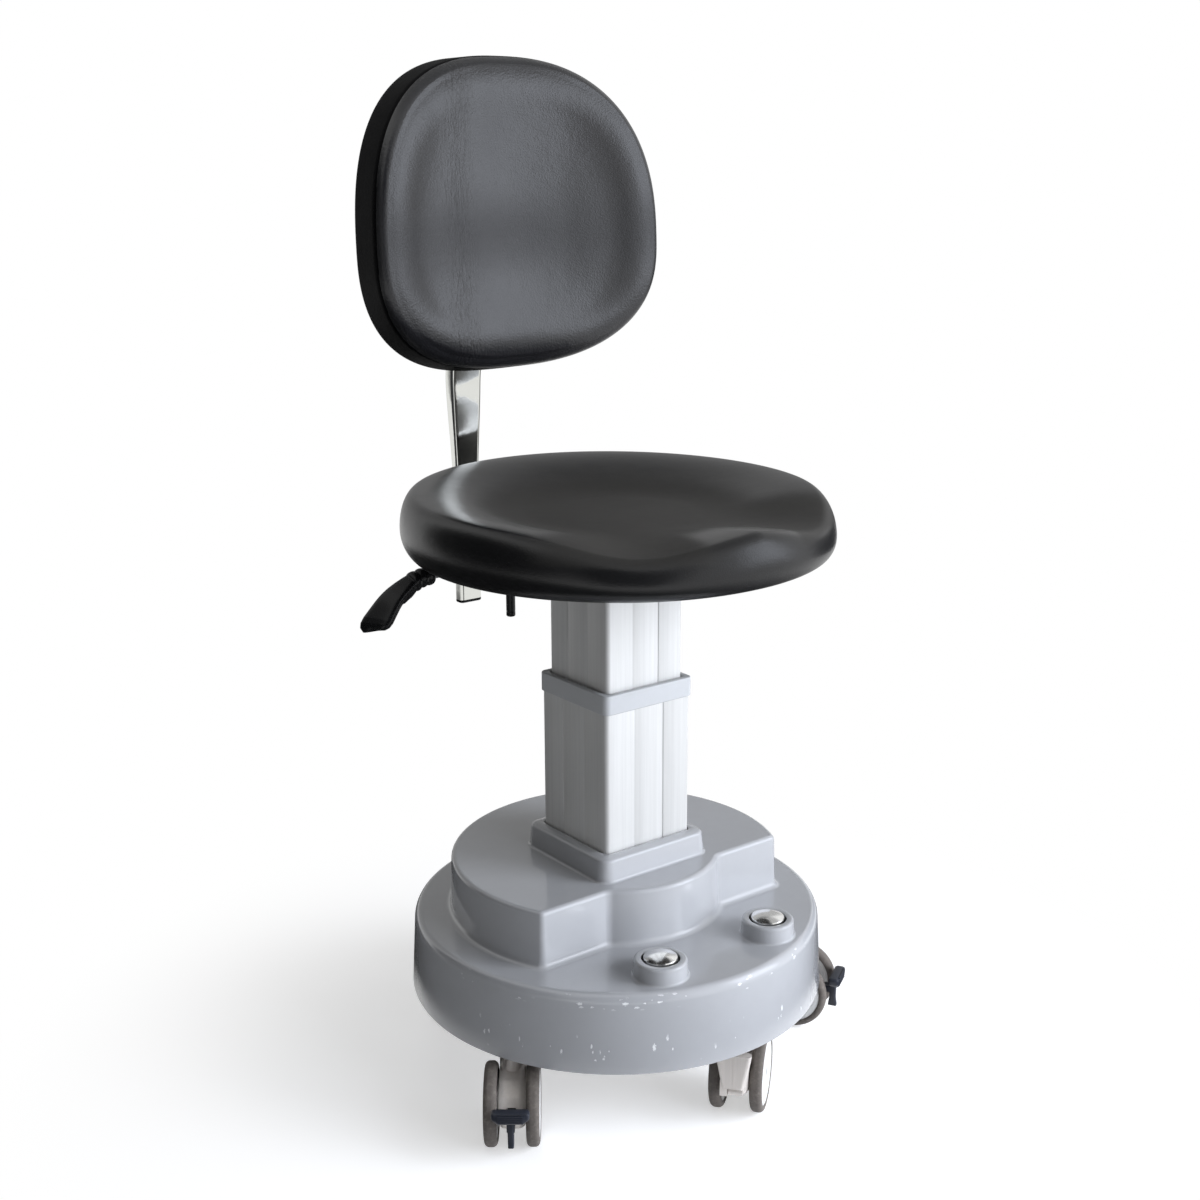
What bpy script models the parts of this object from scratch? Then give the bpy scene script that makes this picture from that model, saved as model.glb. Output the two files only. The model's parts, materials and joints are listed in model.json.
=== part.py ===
"""Surgeon stool: castored round base, square lift column, saddle seat and tilting backrest.

Metres, +Z up. The stool faces -Y and the sitter's right hand is at -X. The origin lies on the floor
in the middle of the stool's footprint.
"""

from math import asin, copysign, cos, exp, pi, radians, sin, tan, tau

import bmesh
import bpy
from mathutils import Matrix, Vector

# Fits between pieces
GAP = 0.0003
RUNNING_GAP = 0.0004

# Casters
CASTER_COUNT = 5
CASTER_CIRCLE_RADIUS = 0.174
FIRST_CASTER_ANGLE = radians(-88.5)
CASTER_TURNS = (radians(38.5), radians(-59.0), radians(75.0), radians(20.0), radians(-127.0))
CASTER_TRAIL = 0.024
WHEEL_RADIUS = 0.0375
WHEEL_WIDTH = 0.012
TYRE_CROWN = 0.003
FORK_WIDTH = 0.025
FORK_NECK_RADIUS = 0.0085
FORK_SHOULDER_RADIUS = 0.014
FORK_SHOULDER_HEIGHT = 0.007
FORK_AXLE_BOSS = 0.015
FORK_BOSS_SWEEP = (radians(-130.0), radians(10.0))
FORK_NOSE = 0.004
FORK_NOSE_RISE = 0.009
FORK_CHIN = 0.007
FORK_TAIL_REACH = 0.021
FORK_TAIL_RISE = 0.0165
FORK_BACK_REACH = 0.014
FORK_BACK_RISE = 0.0315
FORK_TOP_SETBACK = 0.008
FORK_CROWN_RISE = 0.0015
FORK_NECK_SINK = 0.012
HOOD_TOP_WIDTH = 0.033
HOOD_FOOT_WIDTH = 0.020
HOOD_DEPTH = 0.008
STEM_RADIUS = 0.0055
STEM_LENGTH = 0.016
AXLE_RADIUS = 0.004
AXLE_SETBACK = 0.001
PEDAL_WIDTH = 0.034
PEDAL_DEPTH = 0.010
PEDAL_HEIGHT = 0.011
PEDAL_CORNER = 0.004
PEDAL_SINK = 0.003
PEDAL_CLEARANCE = 0.001
PEDAL_ARM_WIDTH = 0.0072
PEDAL_ARM_HEIGHT = 0.006
PEDAL_FIN_WIDTH = 0.0058
PEDAL_FIN_DEPTH = 0.007
PEDAL_FIN_SETBACK = 0.0028
PEDAL_FIN_DROP = 0.024
PEDAL_PIVOT_REACH = 0.016
PEDAL_PIVOT_RISE = 0.024
PEDAL_SLOT_DROP = 0.0096

# Base cover and base plate
RIM_ABOVE_WHEELS = 0.008
DISC_RADIUS = 0.200
DISC_HEIGHT = 0.075
DISC_DRAFT = 0.0037
DISC_EDGE = 0.010
COVER_WALL = 0.003
PLATFORM_RADIUS = 0.161
PLATFORM_HEIGHT = 0.0535
PLATFORM_FRONT = 0.0757
BULGE_RADIUS = 0.101
PLINTH_HALF = 0.0635
PLINTH_HEIGHT = 0.0235
PLINTH_LEDGE = 0.014
PLINTH_STEP = 0.006
PLINTH_CORNER = 0.006
COVER_EDGE = 0.004
COVER_DRAFT = 0.0015
PLATE_THICKNESS = 0.008
PLATE_SETBACK = 0.012
PLATE_PAD_RADIUS = 0.110
PLATE_PAD_DROP = 0.002

# Foot buttons
BUTTON_X = 0.0647
BUTTON_Y = 0.147
BOSS_RADIUS = 0.025
BOSS_HEIGHT = 0.016
BOSS_ROOF = 0.004
BUTTON_RADIUS = 0.0155
BUTTON_RING_GAP = 0.0015
BUTTON_DOME = 0.004
BUTTON_PROUD = 0.003
BUTTON_FLANGE = 0.019
BUTTON_FLANGE_THICKNESS = 0.003
BUTTON_STEM_RADIUS = 0.006
BUTTON_STEM_LENGTH = 0.008
BUTTON_TRAVEL = 0.005
SWITCH_WIDTH = 0.030
SWITCH_MARGIN = 0.001

# Lift column
LOWER_COLUMN_WIDTH = 0.100
LOWER_COLUMN_WALL = 0.004
LOWER_COLUMN_EXPOSED = 0.135
UPPER_COLUMN_WIDTH = 0.089
UPPER_COLUMN_WALL = 0.0035
UPPER_COLUMN_EXPOSED = 0.0896
UPPER_COLUMN_OVERLAP = 0.195
COLUMN_CORNER = 0.004
COLUMN_GAP = 0.0008
GROOVE_PLACE = 0.17
GROOVE_WIDTH = 0.0012
GROOVE_DEPTH = 0.0008
COLLAR_HEIGHT = 0.0184
COLLAR_PROUD = 0.002
COLLAR_LIP = 0.004
FLANGE_WIDTH = 0.150
FLANGE_THICKNESS = 0.008
FLANGE_CORNER = 0.010
GLIDE_THICKNESS = 0.012
GLIDE_OPENING = 0.062
MOTOR_RADIUS = 0.027
MOTOR_LENGTH = 0.050
GEARBOX_RADIUS = 0.028
GEARBOX_LENGTH = 0.024
LIFT_TUBE_RADIUS = 0.022
LIFT_TUBE_WALL = 0.006
LIFT_TUBE_LENGTH = 0.217
LIFT_ROD_RADIUS = 0.0155
LIFT_ROD_LENGTH = 0.214
HOUSING_EDGE = 0.002

# Battery and control box
BATTERY_SIZE = (0.130, 0.060, 0.062)
BATTERY_Y = 0.111
CONTROL_BOX_SIZE = (0.055, 0.090, 0.045)
CONTROL_BOX_X = -0.1125
CONTROL_BOX_Y = 0.015
BOX_EDGE = 0.004

# Swivel and seat
CAP_THICKNESS = 0.006
SPINDLE_RADIUS = 0.012
SPINDLE_HEIGHT = 0.009
SWIVEL_HUB_RADIUS = 0.036
SWIVEL_HUB_HEIGHT = 0.0095
SEAT_PLATE_WIDTH = 0.140
SEAT_PLATE_FRONT = 0.075
SEAT_PLATE_REAR = 0.145
SEAT_PLATE_THICKNESS = 0.004
SEAT_BOARD_RADIUS = 0.140
SEAT_BOARD_THICKNESS = 0.008
SEAT_BOARD_EDGE = 0.002
SEAT_RADIUS = 0.1995
SEAT_FORWARD = 0.004
SEAT_UNDERSIDE_RADIUS = 0.178
SEAT_CREST_RADIUS = 0.1845
SEAT_RIM_HEIGHT = 0.054
SEAT_REAR_RISE = 0.009
SEAT_TROUGH_DEPTH = 0.015
SEAT_TROUGH_ANGLE = radians(32.0)
SEAT_TROUGH_SPREAD = radians(22.0)
SEAT_DISH_HEIGHT = 0.037
SEAT_DISH_FLOOR = 0.40
SEAT_BULGE_PLACE = 0.47

# Backrest tilt mechanism and paddle lever
TILT_PIN_Y = 0.085
TILT_PIN_DROP = 0.0187
TILT_PIN_RADIUS = 0.004
BRACKET_FRONT = 0.068
BRACKET_REAR = 0.140
BRACKET_EAR_GAP = 0.0005
BRACKET_EAR_THICKNESS = 0.003
BRACKET_WEB_THICKNESS = 0.004
BRACKET_DROP = 0.030
PIN_OVERHANG = 0.003
PIN_EDGE = 0.0005
SLEEVE_WIDTH = 0.055
SLEEVE_HEIGHT = 0.022
SLEEVE_FRONT = 0.074
SLEEVE_REAR = 0.182
ARM_WIDTH = 0.040
ARM_THICKNESS = 0.010
ARM_FRONT = 0.108
CLAMP_Y = 0.174
CLAMP_SCREW_RADIUS = 0.003
CLAMP_HANDLE_RADIUS = 0.0043
CLAMP_HANDLE_LENGTH = 0.0547
CLAMP_SHOULDER_RADIUS = 0.008
CLAMP_SHOULDER_HEIGHT = 0.003
LEVER_Y = 0.130
LEVER_DROP = 0.0174
LEVER_ROD_RADIUS = 0.0035
LEVER_ROD_LENGTH = 0.0897
LEVER_HOLE_GAP = 0.0005
GRIP_LENGTH = 0.084
GRIP_DROOP = radians(29.0)
GRIP_NECK_LENGTH = 0.022
GRIP_NECK_RADIUS = 0.0068
GRIP_RIB_HEIGHT = 0.0014
GRIP_RIB_COUNT = 3
GRIP_WIDTH = 0.026
GRIP_THICKNESS = 0.013
# Stations along the paddle: share of its length, of its width and of its thickness
GRIP_STATIONS = ((0.14, 0.70, 1.0), (0.40, 0.86, 1.0), (0.68, 1.0, 0.95),
                 (0.88, 0.96, 0.85), (0.97, 0.74, 0.62), (1.0, 0.42, 0.34))

# Backrest post and socket
POST_Y = 0.253
POST_WIDTH = 0.027
POST_DEPTH = 0.013
POST_CORNER = 0.004
POST_BELOW_ARM = 0.0694
POST_CAP_THICKNESS = 0.003
POST_STRAIGHT = 0.118
POST_FLARE_LENGTH = 0.130
POST_TOP_WIDTH = 0.036
POST_TOP_DEPTH = 0.017
POST_BEND_START = 0.110
POST_BEND_LENGTH = 0.110
POST_TAIL = 0.075
SOCKET_WALL = 0.006
SOCKET_BELOW_ARM = 0.019
SOCKET_HEIGHT = 0.040
SOCKET_CORNER = 0.005

# Backrest
BACK_HALF_WIDTH = 0.1633
BACK_UPPER = 0.1726
BACK_LOWER = 0.1147
BACK_ABOVE_SEAT = 0.2723
BACK_FRONT_Y = 0.155
BACK_THICKNESS = 0.0615
BACK_ROUNDNESS = 2.5
BACK_CURVE_RADIUS = 0.489
BACK_LEAN = radians(1.9)
BACK_SIDE_DRAW = 0.0087
BACK_UNDERCUT = 0.010
BACK_REAR_EDGE = 0.009
BACK_FRONT_EDGE = 0.018
BACK_CREASE_SIDE = 0.0135
BACK_CREASE_END = 0.006
BACK_DISH = 0.006
BACK_DISH_WIDTH = 0.137
BACK_LUMBAR = 0.005
BACK_LUMBAR_DROP = 0.060
BACK_LUMBAR_SPREAD = 0.032
BACK_BOARD_THICKNESS = 0.008
BACK_BOARD_SHARE = 0.94
BACK_BRACKET_WIDTH = 0.090
BACK_BRACKET_HEIGHT = 0.120
BACK_BRACKET_THICKNESS = 0.004
BACK_BRACKET_CORNER = 0.012

# Facets of round pieces
SEGMENTS_LARGE = 48
SEGMENTS_COVER = 32
SEGMENTS_MEDIUM = 24
SEGMENTS_SMALL = 16
SEGMENTS_CUSHION = 40
SEGMENTS_GRIP = 12
CORNER_STEPS = 3
INNER_CORNER_STEPS = 2
EDGE_STEPS = 2
ROUND_STEPS = 3
DOME_STEPS = 4
DISH_ROWS = 6
DISH_ROW_SPREAD = 1.3
BACK_REAR_ROWS = 3
POST_ROWS = 3
RIB_POINT_COUNT = 2

# Size of the empties that mark the joints, and the angles up to which faces are shaded smooth
MARKER_SIZE = 0.02
HARD_ANGLE = 35.0
SOFT_ANGLE = 60.0

# Heights that follow from the sizes above
RIM_Z = 2.0 * WHEEL_RADIUS + RIM_ABOVE_WHEELS
DISC_TOP_Z = RIM_Z + DISC_HEIGHT
PLATFORM_TOP_Z = DISC_TOP_Z + PLATFORM_HEIGHT
PLINTH_TOP_Z = PLATFORM_TOP_Z + PLINTH_HEIGHT
PLATE_Z = RIM_Z + PLATE_SETBACK
PLATE_TOP_Z = PLATE_Z + PLATE_THICKNESS
ON_PLATE_Z = PLATE_TOP_Z + GAP
COLLAR_Z = PLINTH_TOP_Z + LOWER_COLUMN_EXPOSED
COLLAR_TOP_Z = COLLAR_Z + COLLAR_HEIGHT
LOWER_COLUMN_TOP_Z = COLLAR_TOP_Z - COLLAR_LIP - GAP
UPPER_COLUMN_Z = COLLAR_TOP_Z - UPPER_COLUMN_OVERLAP
UPPER_COLUMN_TOP_Z = COLLAR_TOP_Z + UPPER_COLUMN_EXPOSED
CAP_Z = UPPER_COLUMN_TOP_Z + GAP
CAP_TOP_Z = CAP_Z + CAP_THICKNESS
SWIVEL_HUB_Z = CAP_TOP_Z + GAP
SEAT_PLATE_Z = SWIVEL_HUB_Z + SWIVEL_HUB_HEIGHT + GAP
SEAT_BOARD_Z = SEAT_PLATE_Z + SEAT_PLATE_THICKNESS + GAP
SEAT_Z = SEAT_BOARD_Z + SEAT_BOARD_THICKNESS + GAP
BRACKET_TOP_Z = SEAT_PLATE_Z - GAP
TILT_PIN_Z = SEAT_PLATE_Z - TILT_PIN_DROP
LEVER_Z = SEAT_PLATE_Z - LEVER_DROP
POST_Z = TILT_PIN_Z - POST_BELOW_ARM
BACK_Z = SEAT_Z + BACK_ABOVE_SEAT
BUTTON_TOP_Z = DISC_TOP_Z + BOSS_HEIGHT + BUTTON_PROUD
BUTTON_FLANGE_Z = DISC_TOP_Z + BOSS_HEIGHT - BOSS_ROOF - GAP
BUTTON_FOOT_Z = BUTTON_FLANGE_Z - BUTTON_FLANGE_THICKNESS - BUTTON_STEM_LENGTH
SWITCH_TOP_Z = BUTTON_FOOT_Z - BUTTON_TRAVEL - SWITCH_MARGIN

# Half sizes and radii that several pieces share
EAR_INNER_X = SLEEVE_WIDTH / 2.0 + BRACKET_EAR_GAP
EAR_OUTER_X = EAR_INNER_X + BRACKET_EAR_THICKNESS
EAR_MIDDLE_X = (EAR_INNER_X + EAR_OUTER_X) / 2.0
SOCKET_HALF_WIDTH = POST_WIDTH / 2.0 + GAP + SOCKET_WALL
SOCKET_HALF_DEPTH = POST_DEPTH / 2.0 + GAP + SOCKET_WALL
WHEEL_INNER_X = FORK_WIDTH / 2.0 + RUNNING_GAP
BACK_REAR_Y = BACK_FRONT_Y + BACK_THICKNESS
BACK_BOARD_Y = BACK_REAR_Y + GAP
BACK_BRACKET_Y = BACK_BOARD_Y + BACK_BOARD_THICKNESS + GAP
POST_TOP_Y = BACK_BRACKET_Y + BACK_BRACKET_THICKNESS + GAP + POST_TOP_DEPTH / 2.0


# Scene, materials and placing

def clear_scene():
    """Remove every object of the scene that the script starts in."""
    for old in list(bpy.data.objects):
        bpy.data.objects.remove(old, do_unlink=True)


def finish(name, colour, roughness, metallic=0.0):
    """A Principled material with one colour."""
    material = bpy.data.materials.new(name)
    material.use_nodes = True
    shader = material.node_tree.nodes["Principled BSDF"]
    shader.inputs["Base Color"].default_value = (*colour, 1.0)
    shader.inputs["Roughness"].default_value = roughness
    shader.inputs["Metallic"].default_value = metallic
    return material


def make_finishes():
    """Every finish of the stool, by name."""
    return {
        "cover_grey": finish("cover_grey", (0.31, 0.33, 0.36), 0.25),
        "collar_grey": finish("collar_grey", (0.42, 0.43, 0.44), 0.55),
        "anodised": finish("anodised", (0.74, 0.74, 0.73), 0.35, 1.0),
        "chrome": finish("chrome", (0.80, 0.80, 0.80), 0.08, 1.0),
        "polished": finish("polished", (0.78, 0.78, 0.77), 0.14, 1.0),
        "nickel": finish("nickel", (0.56, 0.53, 0.49), 0.35, 1.0),
        "steel": finish("steel", (0.38, 0.38, 0.39), 0.45, 1.0),
        "black_steel": finish("black_steel", (0.03, 0.03, 0.032), 0.45),
        "black_plastic": finish("black_plastic", (0.012, 0.012, 0.013), 0.30),
        "pedal_plastic": finish("pedal_plastic", (0.018, 0.021, 0.030), 0.45),
        "glide_plastic": finish("glide_plastic", (0.62, 0.61, 0.57), 0.50),
        "tyre": finish("tyre", (0.115, 0.105, 0.098), 0.70),
        "plywood": finish("plywood", (0.42, 0.29, 0.17), 0.65),
        "seat_vinyl": finish("seat_vinyl", (0.016, 0.016, 0.017), 0.42),
        "back_vinyl": finish("back_vinyl", (0.020, 0.020, 0.023), 0.45),
    }


def marker(name, parent, location, turn=0.0):
    """An empty on a joint's axis, turned about Z."""
    empty = bpy.data.objects.new(name, None)
    bpy.context.collection.objects.link(empty)
    empty.empty_display_size = MARKER_SIZE
    empty.parent = parent
    empty.location = location
    empty.rotation_euler = (0.0, 0.0, turn)
    return empty


def place(work, name, material, parent, location=(0.0, 0.0, 0.0), smooth=HARD_ANGLE):
    """Name a finished solid, give it its finish and hang it on its joint's empty."""
    work.name = name
    work.data.name = name
    work.data.materials.clear()
    work.data.materials.append(material)
    work.data.shade_smooth()
    work.data.set_sharp_from_angle(angle=radians(smooth))
    work.parent = parent
    work.location = location
    return work


# Solids

def solid(points, faces):
    """A closed object from points and faces, with its faces turned outwards."""
    mesh = bpy.data.meshes.new("work")
    mesh.from_pydata([tuple(point) for point in points], [], faces)
    shape = bmesh.new()
    shape.from_mesh(mesh)
    bmesh.ops.recalc_face_normals(shape, faces=shape.faces)
    shape.to_mesh(mesh)
    shape.free()
    work = bpy.data.objects.new("work", mesh)
    bpy.context.collection.objects.link(work)
    return work


def loft(sections):
    """A solid through rings of equally many points, closed by a flat face at each end."""
    count = len(sections[0])
    points = [point for section in sections for point in section]
    faces = [list(range(count)), list(range(len(points) - count, len(points)))]
    for row in range(len(sections) - 1):
        for column in range(count):
            after = (column + 1) % count
            low = row * count
            high = low + count
            faces.append([low + column, low + after, high + after, high + column])
    return solid(points, faces)


def closed_rings(rings, first, last):
    """A solid over rings of points, closed at each side by a flat face or by a fan to a point."""
    count = len(rings[0])
    points = [point for row in rings for point in row]
    faces = []
    for row in range(len(rings) - 1):
        low = row * count
        high = low + count
        for step in range(count):
            after = (step + 1) % count
            faces.append([low + step, high + step, high + after, low + after])
    for tip, row in ((first, 0), (last, len(rings) - 1)):
        start = row * count
        if rings[row][0][2] == tip[2]:
            faces.append(list(range(start, start + count)))
            continue
        points.append(tip)
        for step in range(count):
            faces.append([start + step, start + (step + 1) % count, len(points) - 1])
    return solid(points, faces)


def turned(profile, segments):
    """A solid turned about Z from (radius, height) points that start and end on the axis."""
    rings = []
    for radius, height in profile[1:-1]:
        rings.append([(x, y, height) for x, y in circle(0.0, 0.0, radius, segments)])
    first = (0.0, 0.0, profile[0][1])
    last = (0.0, 0.0, profile[-1][1])
    return closed_rings(rings, first, last)


def ring(profile, segments):
    """A ring turned about Z from a closed outline of (radius, height) points."""
    count = len(profile)
    points = []
    for step in range(segments):
        angle = tau * step / segments
        for radius, height in profile:
            points.append((radius * cos(angle), radius * sin(angle), height))
    faces = []
    for step in range(segments):
        here = step * count
        there = ((step + 1) % segments) * count
        for place_in in range(count):
            after = (place_in + 1) % count
            faces.append([here + place_in, here + after, there + after, there + place_in])
    return solid(points, faces)


def rod(radius, low, high, segments=SEGMENTS_SMALL, edge=0.0):
    """A round bar along Z, with its two edges broken."""
    profile = [(0.0, low), (radius - edge, low)]
    if edge > 0.0:
        profile += [(radius, low + edge), (radius, high - edge)]
    profile += [(radius - edge, high), (0.0, high)]
    return turned(profile, segments)


def prism(outline, low, high):
    """A flat outline in XY raised from one height to another."""
    return loft([[(x, y, low) for x, y in outline], [(x, y, high) for x, y in outline]])


def box(low, high, edge=0.0):
    """A block between two corners, with its upright and top edges broken."""
    middle_x = (low[0] + high[0]) / 2.0
    middle_y = (low[1] + high[1]) / 2.0
    width = high[0] - low[0]
    depth = high[1] - low[1]
    if edge == 0.0:
        outline = [(low[0], low[1]), (high[0], low[1]), (high[0], high[1]), (low[0], high[1])]
        return prism(outline, low[2], high[2])
    levels = [(low[2], 0.0), (high[2] - edge / 2.0, 0.0), (high[2], edge / 2.0)]
    sections = []
    for height, inset in levels:
        outline = rounded_rectangle(width - 2.0 * inset, depth - 2.0 * inset, edge - inset, INNER_CORNER_STEPS)
        sections.append([(middle_x + x, middle_y + y, height) for x, y in outline])
    return loft(sections)


def arc(centre_x, centre_y, radius, start, end, steps):
    """Points along an arc, both ends included."""
    points = []
    for step in range(steps + 1):
        angle = start + (end - start) * step / steps
        points.append((centre_x + radius * cos(angle), centre_y + radius * sin(angle)))
    return points


def circle(centre_x, centre_y, radius, segments):
    """Points round a circle."""
    return arc(centre_x, centre_y, radius, 0.0, tau * (segments - 1) / segments, segments - 1)


def rounded_rectangle(width, depth, corner, steps):
    """Outline of a rectangle about the origin with round corners."""
    half_x = width / 2.0 - corner
    half_y = depth / 2.0 - corner
    outline = []
    for quarter, (side_x, side_y) in enumerate(((1, 1), (-1, 1), (-1, -1), (1, -1))):
        start = quarter * pi / 2.0
        outline += arc(side_x * half_x, side_y * half_y, corner, start, start + pi / 2.0, steps)
    return outline


def turn_to_x(work):
    """Lay a solid that was made along Z along X."""
    work.data.transform(Matrix.Rotation(pi / 2.0, 4, "Y"))
    return work


def shift(work, x, y, z):
    """Move a solid's points."""
    work.data.transform(Matrix.Translation((x, y, z)))
    return work


def combine(work, tool, operation):
    """Join a tool to a solid or cut it out, and remove the tool."""
    modifier = work.modifiers.new("combine", "BOOLEAN")
    modifier.operation = operation
    modifier.solver = "EXACT"
    modifier.object = tool
    bpy.context.view_layer.update()
    graph = bpy.context.evaluated_depsgraph_get()
    mesh = bpy.data.meshes.new_from_object(work.evaluated_get(graph))
    work.modifiers.clear()
    work.data = mesh
    bpy.data.objects.remove(tool, do_unlink=True)
    return work


def join(work, tool):
    """Fuse two solids that overlap."""
    return combine(work, tool, "UNION")


def cut(work, tool):
    """Cut a tool out of a solid."""
    return combine(work, tool, "DIFFERENCE")


# Base cover

def stack(outline_at, levels):
    """A solid through one outline at several heights, each drawn in by its own inset."""
    return loft([[(x, y, height) for x, y in outline_at(inset)] for height, inset in levels])


def edge_levels(foot, top, inset):
    """Heights and insets of a drafted wall with a round top edge, as (height, inset) pairs."""
    levels = [(foot, inset - COVER_DRAFT)]
    for step in range(EDGE_STEPS + 1):
        turn = step * pi / 2.0 / EDGE_STEPS
        levels.append((top - COVER_EDGE * (1.0 - sin(turn)), inset + COVER_EDGE * (1.0 - cos(turn))))
    return levels


def platform_outline(inset):
    """Platform seen from above: a circle cut off straight at the front."""
    radius = PLATFORM_RADIUS - inset
    front = PLATFORM_FRONT - inset
    start = -asin(front / radius)
    return arc(0.0, 0.0, radius, start, pi - start, SEGMENTS_COVER)


def bulge_outline(inset):
    """Round bulge in front of the column."""
    return circle(0.0, 0.0, BULGE_RADIUS - inset, SEGMENTS_COVER)


def plinth_outline(inset):
    """Square plinth round the column."""
    side = 2.0 * (PLINTH_HALF - inset)
    return rounded_rectangle(side, side, PLINTH_CORNER, CORNER_STEPS)


def cover_form(inset, floor):
    """Outside of the cover drawn in by inset and closed at the floor height."""
    top = DISC_TOP_Z - inset
    outer = DISC_RADIUS - inset
    edge = arc(outer - DISC_DRAFT - DISC_EDGE, top - DISC_EDGE, DISC_EDGE, 0.0, pi / 2.0, ROUND_STEPS)
    form = turned([(0.0, floor), (outer, floor)] + edge + [(0.0, top)], SEGMENTS_LARGE)
    foot = top - 2.0 * COVER_EDGE
    platform_top = PLATFORM_TOP_Z - inset
    join(form, stack(platform_outline, edge_levels(foot, platform_top, inset)))
    join(form, stack(bulge_outline, edge_levels(foot - COVER_EDGE / 2.0, platform_top - GAP, inset)))
    ledge = PLATFORM_TOP_Z + PLINTH_LEDGE - inset
    plinth_top = PLINTH_TOP_Z - inset
    join(form, stack(plinth_outline, [
        (platform_top - 2.0 * COVER_EDGE, inset - COVER_DRAFT),
        (ledge - COVER_EDGE / 2.0, inset),
        (ledge, inset + COVER_EDGE / 2.0),
        (plinth_top, inset + PLINTH_STEP),
    ]))
    return form


def add_base(root, finishes):
    """Cover, plate, column foot and the boxes that stand on the plate."""
    cover = cover_form(0.0, RIM_Z)
    for side in (-1.0, 1.0):
        boss = stack(lambda inset: circle(side * BUTTON_X, -BUTTON_Y, BOSS_RADIUS - inset, SEGMENTS_MEDIUM),
                     edge_levels(DISC_TOP_Z - COVER_EDGE, DISC_TOP_Z + BOSS_HEIGHT, 0.0))
        join(cover, boss)
    cut(cover, cover_form(COVER_WALL, RIM_Z - COVER_WALL))
    for side in (-1.0, 1.0):
        hollow = rod(BOSS_RADIUS - COVER_WALL, DISC_TOP_Z - 2.0 * COVER_WALL,
                     DISC_TOP_Z + BOSS_HEIGHT - BOSS_ROOF, SEGMENTS_MEDIUM)
        cut(cover, shift(hollow, side * BUTTON_X, -BUTTON_Y, 0.0))
        hole = rod(BUTTON_RADIUS + BUTTON_RING_GAP, DISC_TOP_Z, DISC_TOP_Z + 2.0 * BOSS_HEIGHT,
                   SEGMENTS_MEDIUM)
        cut(cover, shift(hole, side * BUTTON_X, -BUTTON_Y, 0.0))
    opening = LOWER_COLUMN_WIDTH + 2.0 * COLUMN_GAP
    cut(cover, prism(rounded_rectangle(opening, opening, COLUMN_CORNER, CORNER_STEPS),
                     PLATFORM_TOP_Z - 4.0 * COVER_WALL, PLINTH_TOP_Z + COVER_WALL))
    place(cover, "base_cover", finishes["cover_grey"], root)

    wall_drift = DISC_DRAFT * (PLATE_TOP_Z - RIM_Z) / (DISC_HEIGHT - DISC_EDGE)
    reach = DISC_RADIUS - COVER_WALL - wall_drift - 2.0 * GAP
    pad_z = PLATE_Z - PLATE_PAD_DROP
    profile = [(0.0, pad_z), (PLATE_PAD_RADIUS, pad_z), (PLATE_PAD_RADIUS, PLATE_Z), (reach, PLATE_Z)]
    profile += [(reach, PLATE_TOP_Z), (0.0, PLATE_TOP_Z)]
    plate = turned(profile, SEGMENTS_LARGE)
    for x, y in caster_places():
        hole = rod(STEM_RADIUS + RUNNING_GAP, PLATE_Z - GAP, PLATE_TOP_Z + GAP)
        cut(plate, shift(hole, x, y, 0.0))
    place(plate, "base_plate", finishes["steel"], root)

    flange = prism(rounded_rectangle(FLANGE_WIDTH, FLANGE_WIDTH, FLANGE_CORNER, CORNER_STEPS),
                   ON_PLATE_Z, ON_PLATE_Z + FLANGE_THICKNESS)
    opening = LOWER_COLUMN_WIDTH + 2.0 * GAP
    cut(flange, prism(rounded_rectangle(opening, opening, COLUMN_CORNER, CORNER_STEPS), PLATE_Z, DISC_TOP_Z))
    place(flange, "column_foot", finishes["steel"], root)

    add_box("battery_pack", BATTERY_SIZE, 0.0, BATTERY_Y, root, finishes["black_plastic"])
    add_box("control_box", CONTROL_BOX_SIZE, CONTROL_BOX_X, CONTROL_BOX_Y, root, finishes["black_steel"])


def add_box(name, size, x, y, root, material):
    """A box that stands on the base plate."""
    low = (x - size[0] / 2.0, y - size[1] / 2.0, ON_PLATE_Z)
    high = (x + size[0] / 2.0, y + size[1] / 2.0, ON_PLATE_Z + size[2])
    place(box(low, high, BOX_EDGE), name, material, root)


def add_buttons(root, finishes):
    """Two foot buttons held under the roofs of their bosses, and the switches below them."""
    for side, name in ((-1.0, "up"), (1.0, "down")):
        slide = marker(f"button_{name}_slide", root, (side * BUTTON_X, -BUTTON_Y, BUTTON_TOP_Z))
        dome = []
        for step in range(DOME_STEPS):
            reach = 1.0 - step / DOME_STEPS
            dome.append((BUTTON_RADIUS * reach, -BUTTON_DOME * reach * reach))
        flange = BUTTON_FLANGE_Z - BUTTON_TOP_Z
        foot = flange - BUTTON_FLANGE_THICKNESS
        profile = [(0.0, BUTTON_FOOT_Z - BUTTON_TOP_Z), (BUTTON_STEM_RADIUS, BUTTON_FOOT_Z - BUTTON_TOP_Z)]
        profile += [(BUTTON_STEM_RADIUS, foot), (BUTTON_FLANGE, foot)]
        profile += [(BUTTON_FLANGE, flange), (BUTTON_RADIUS, flange)]
        profile += dome + [(0.0, 0.0)]
        place(turned(profile, SEGMENTS_MEDIUM), f"foot_button_{name}", finishes["polished"], slide)
        half = SWITCH_WIDTH / 2.0
        low = (side * BUTTON_X - half, -BUTTON_Y - half, ON_PLATE_Z)
        high = (side * BUTTON_X + half, -BUTTON_Y + half, SWITCH_TOP_Z)
        place(box(low, high, BOX_EDGE), f"foot_switch_{name}", finishes["black_plastic"], root)


# Lift column

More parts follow.
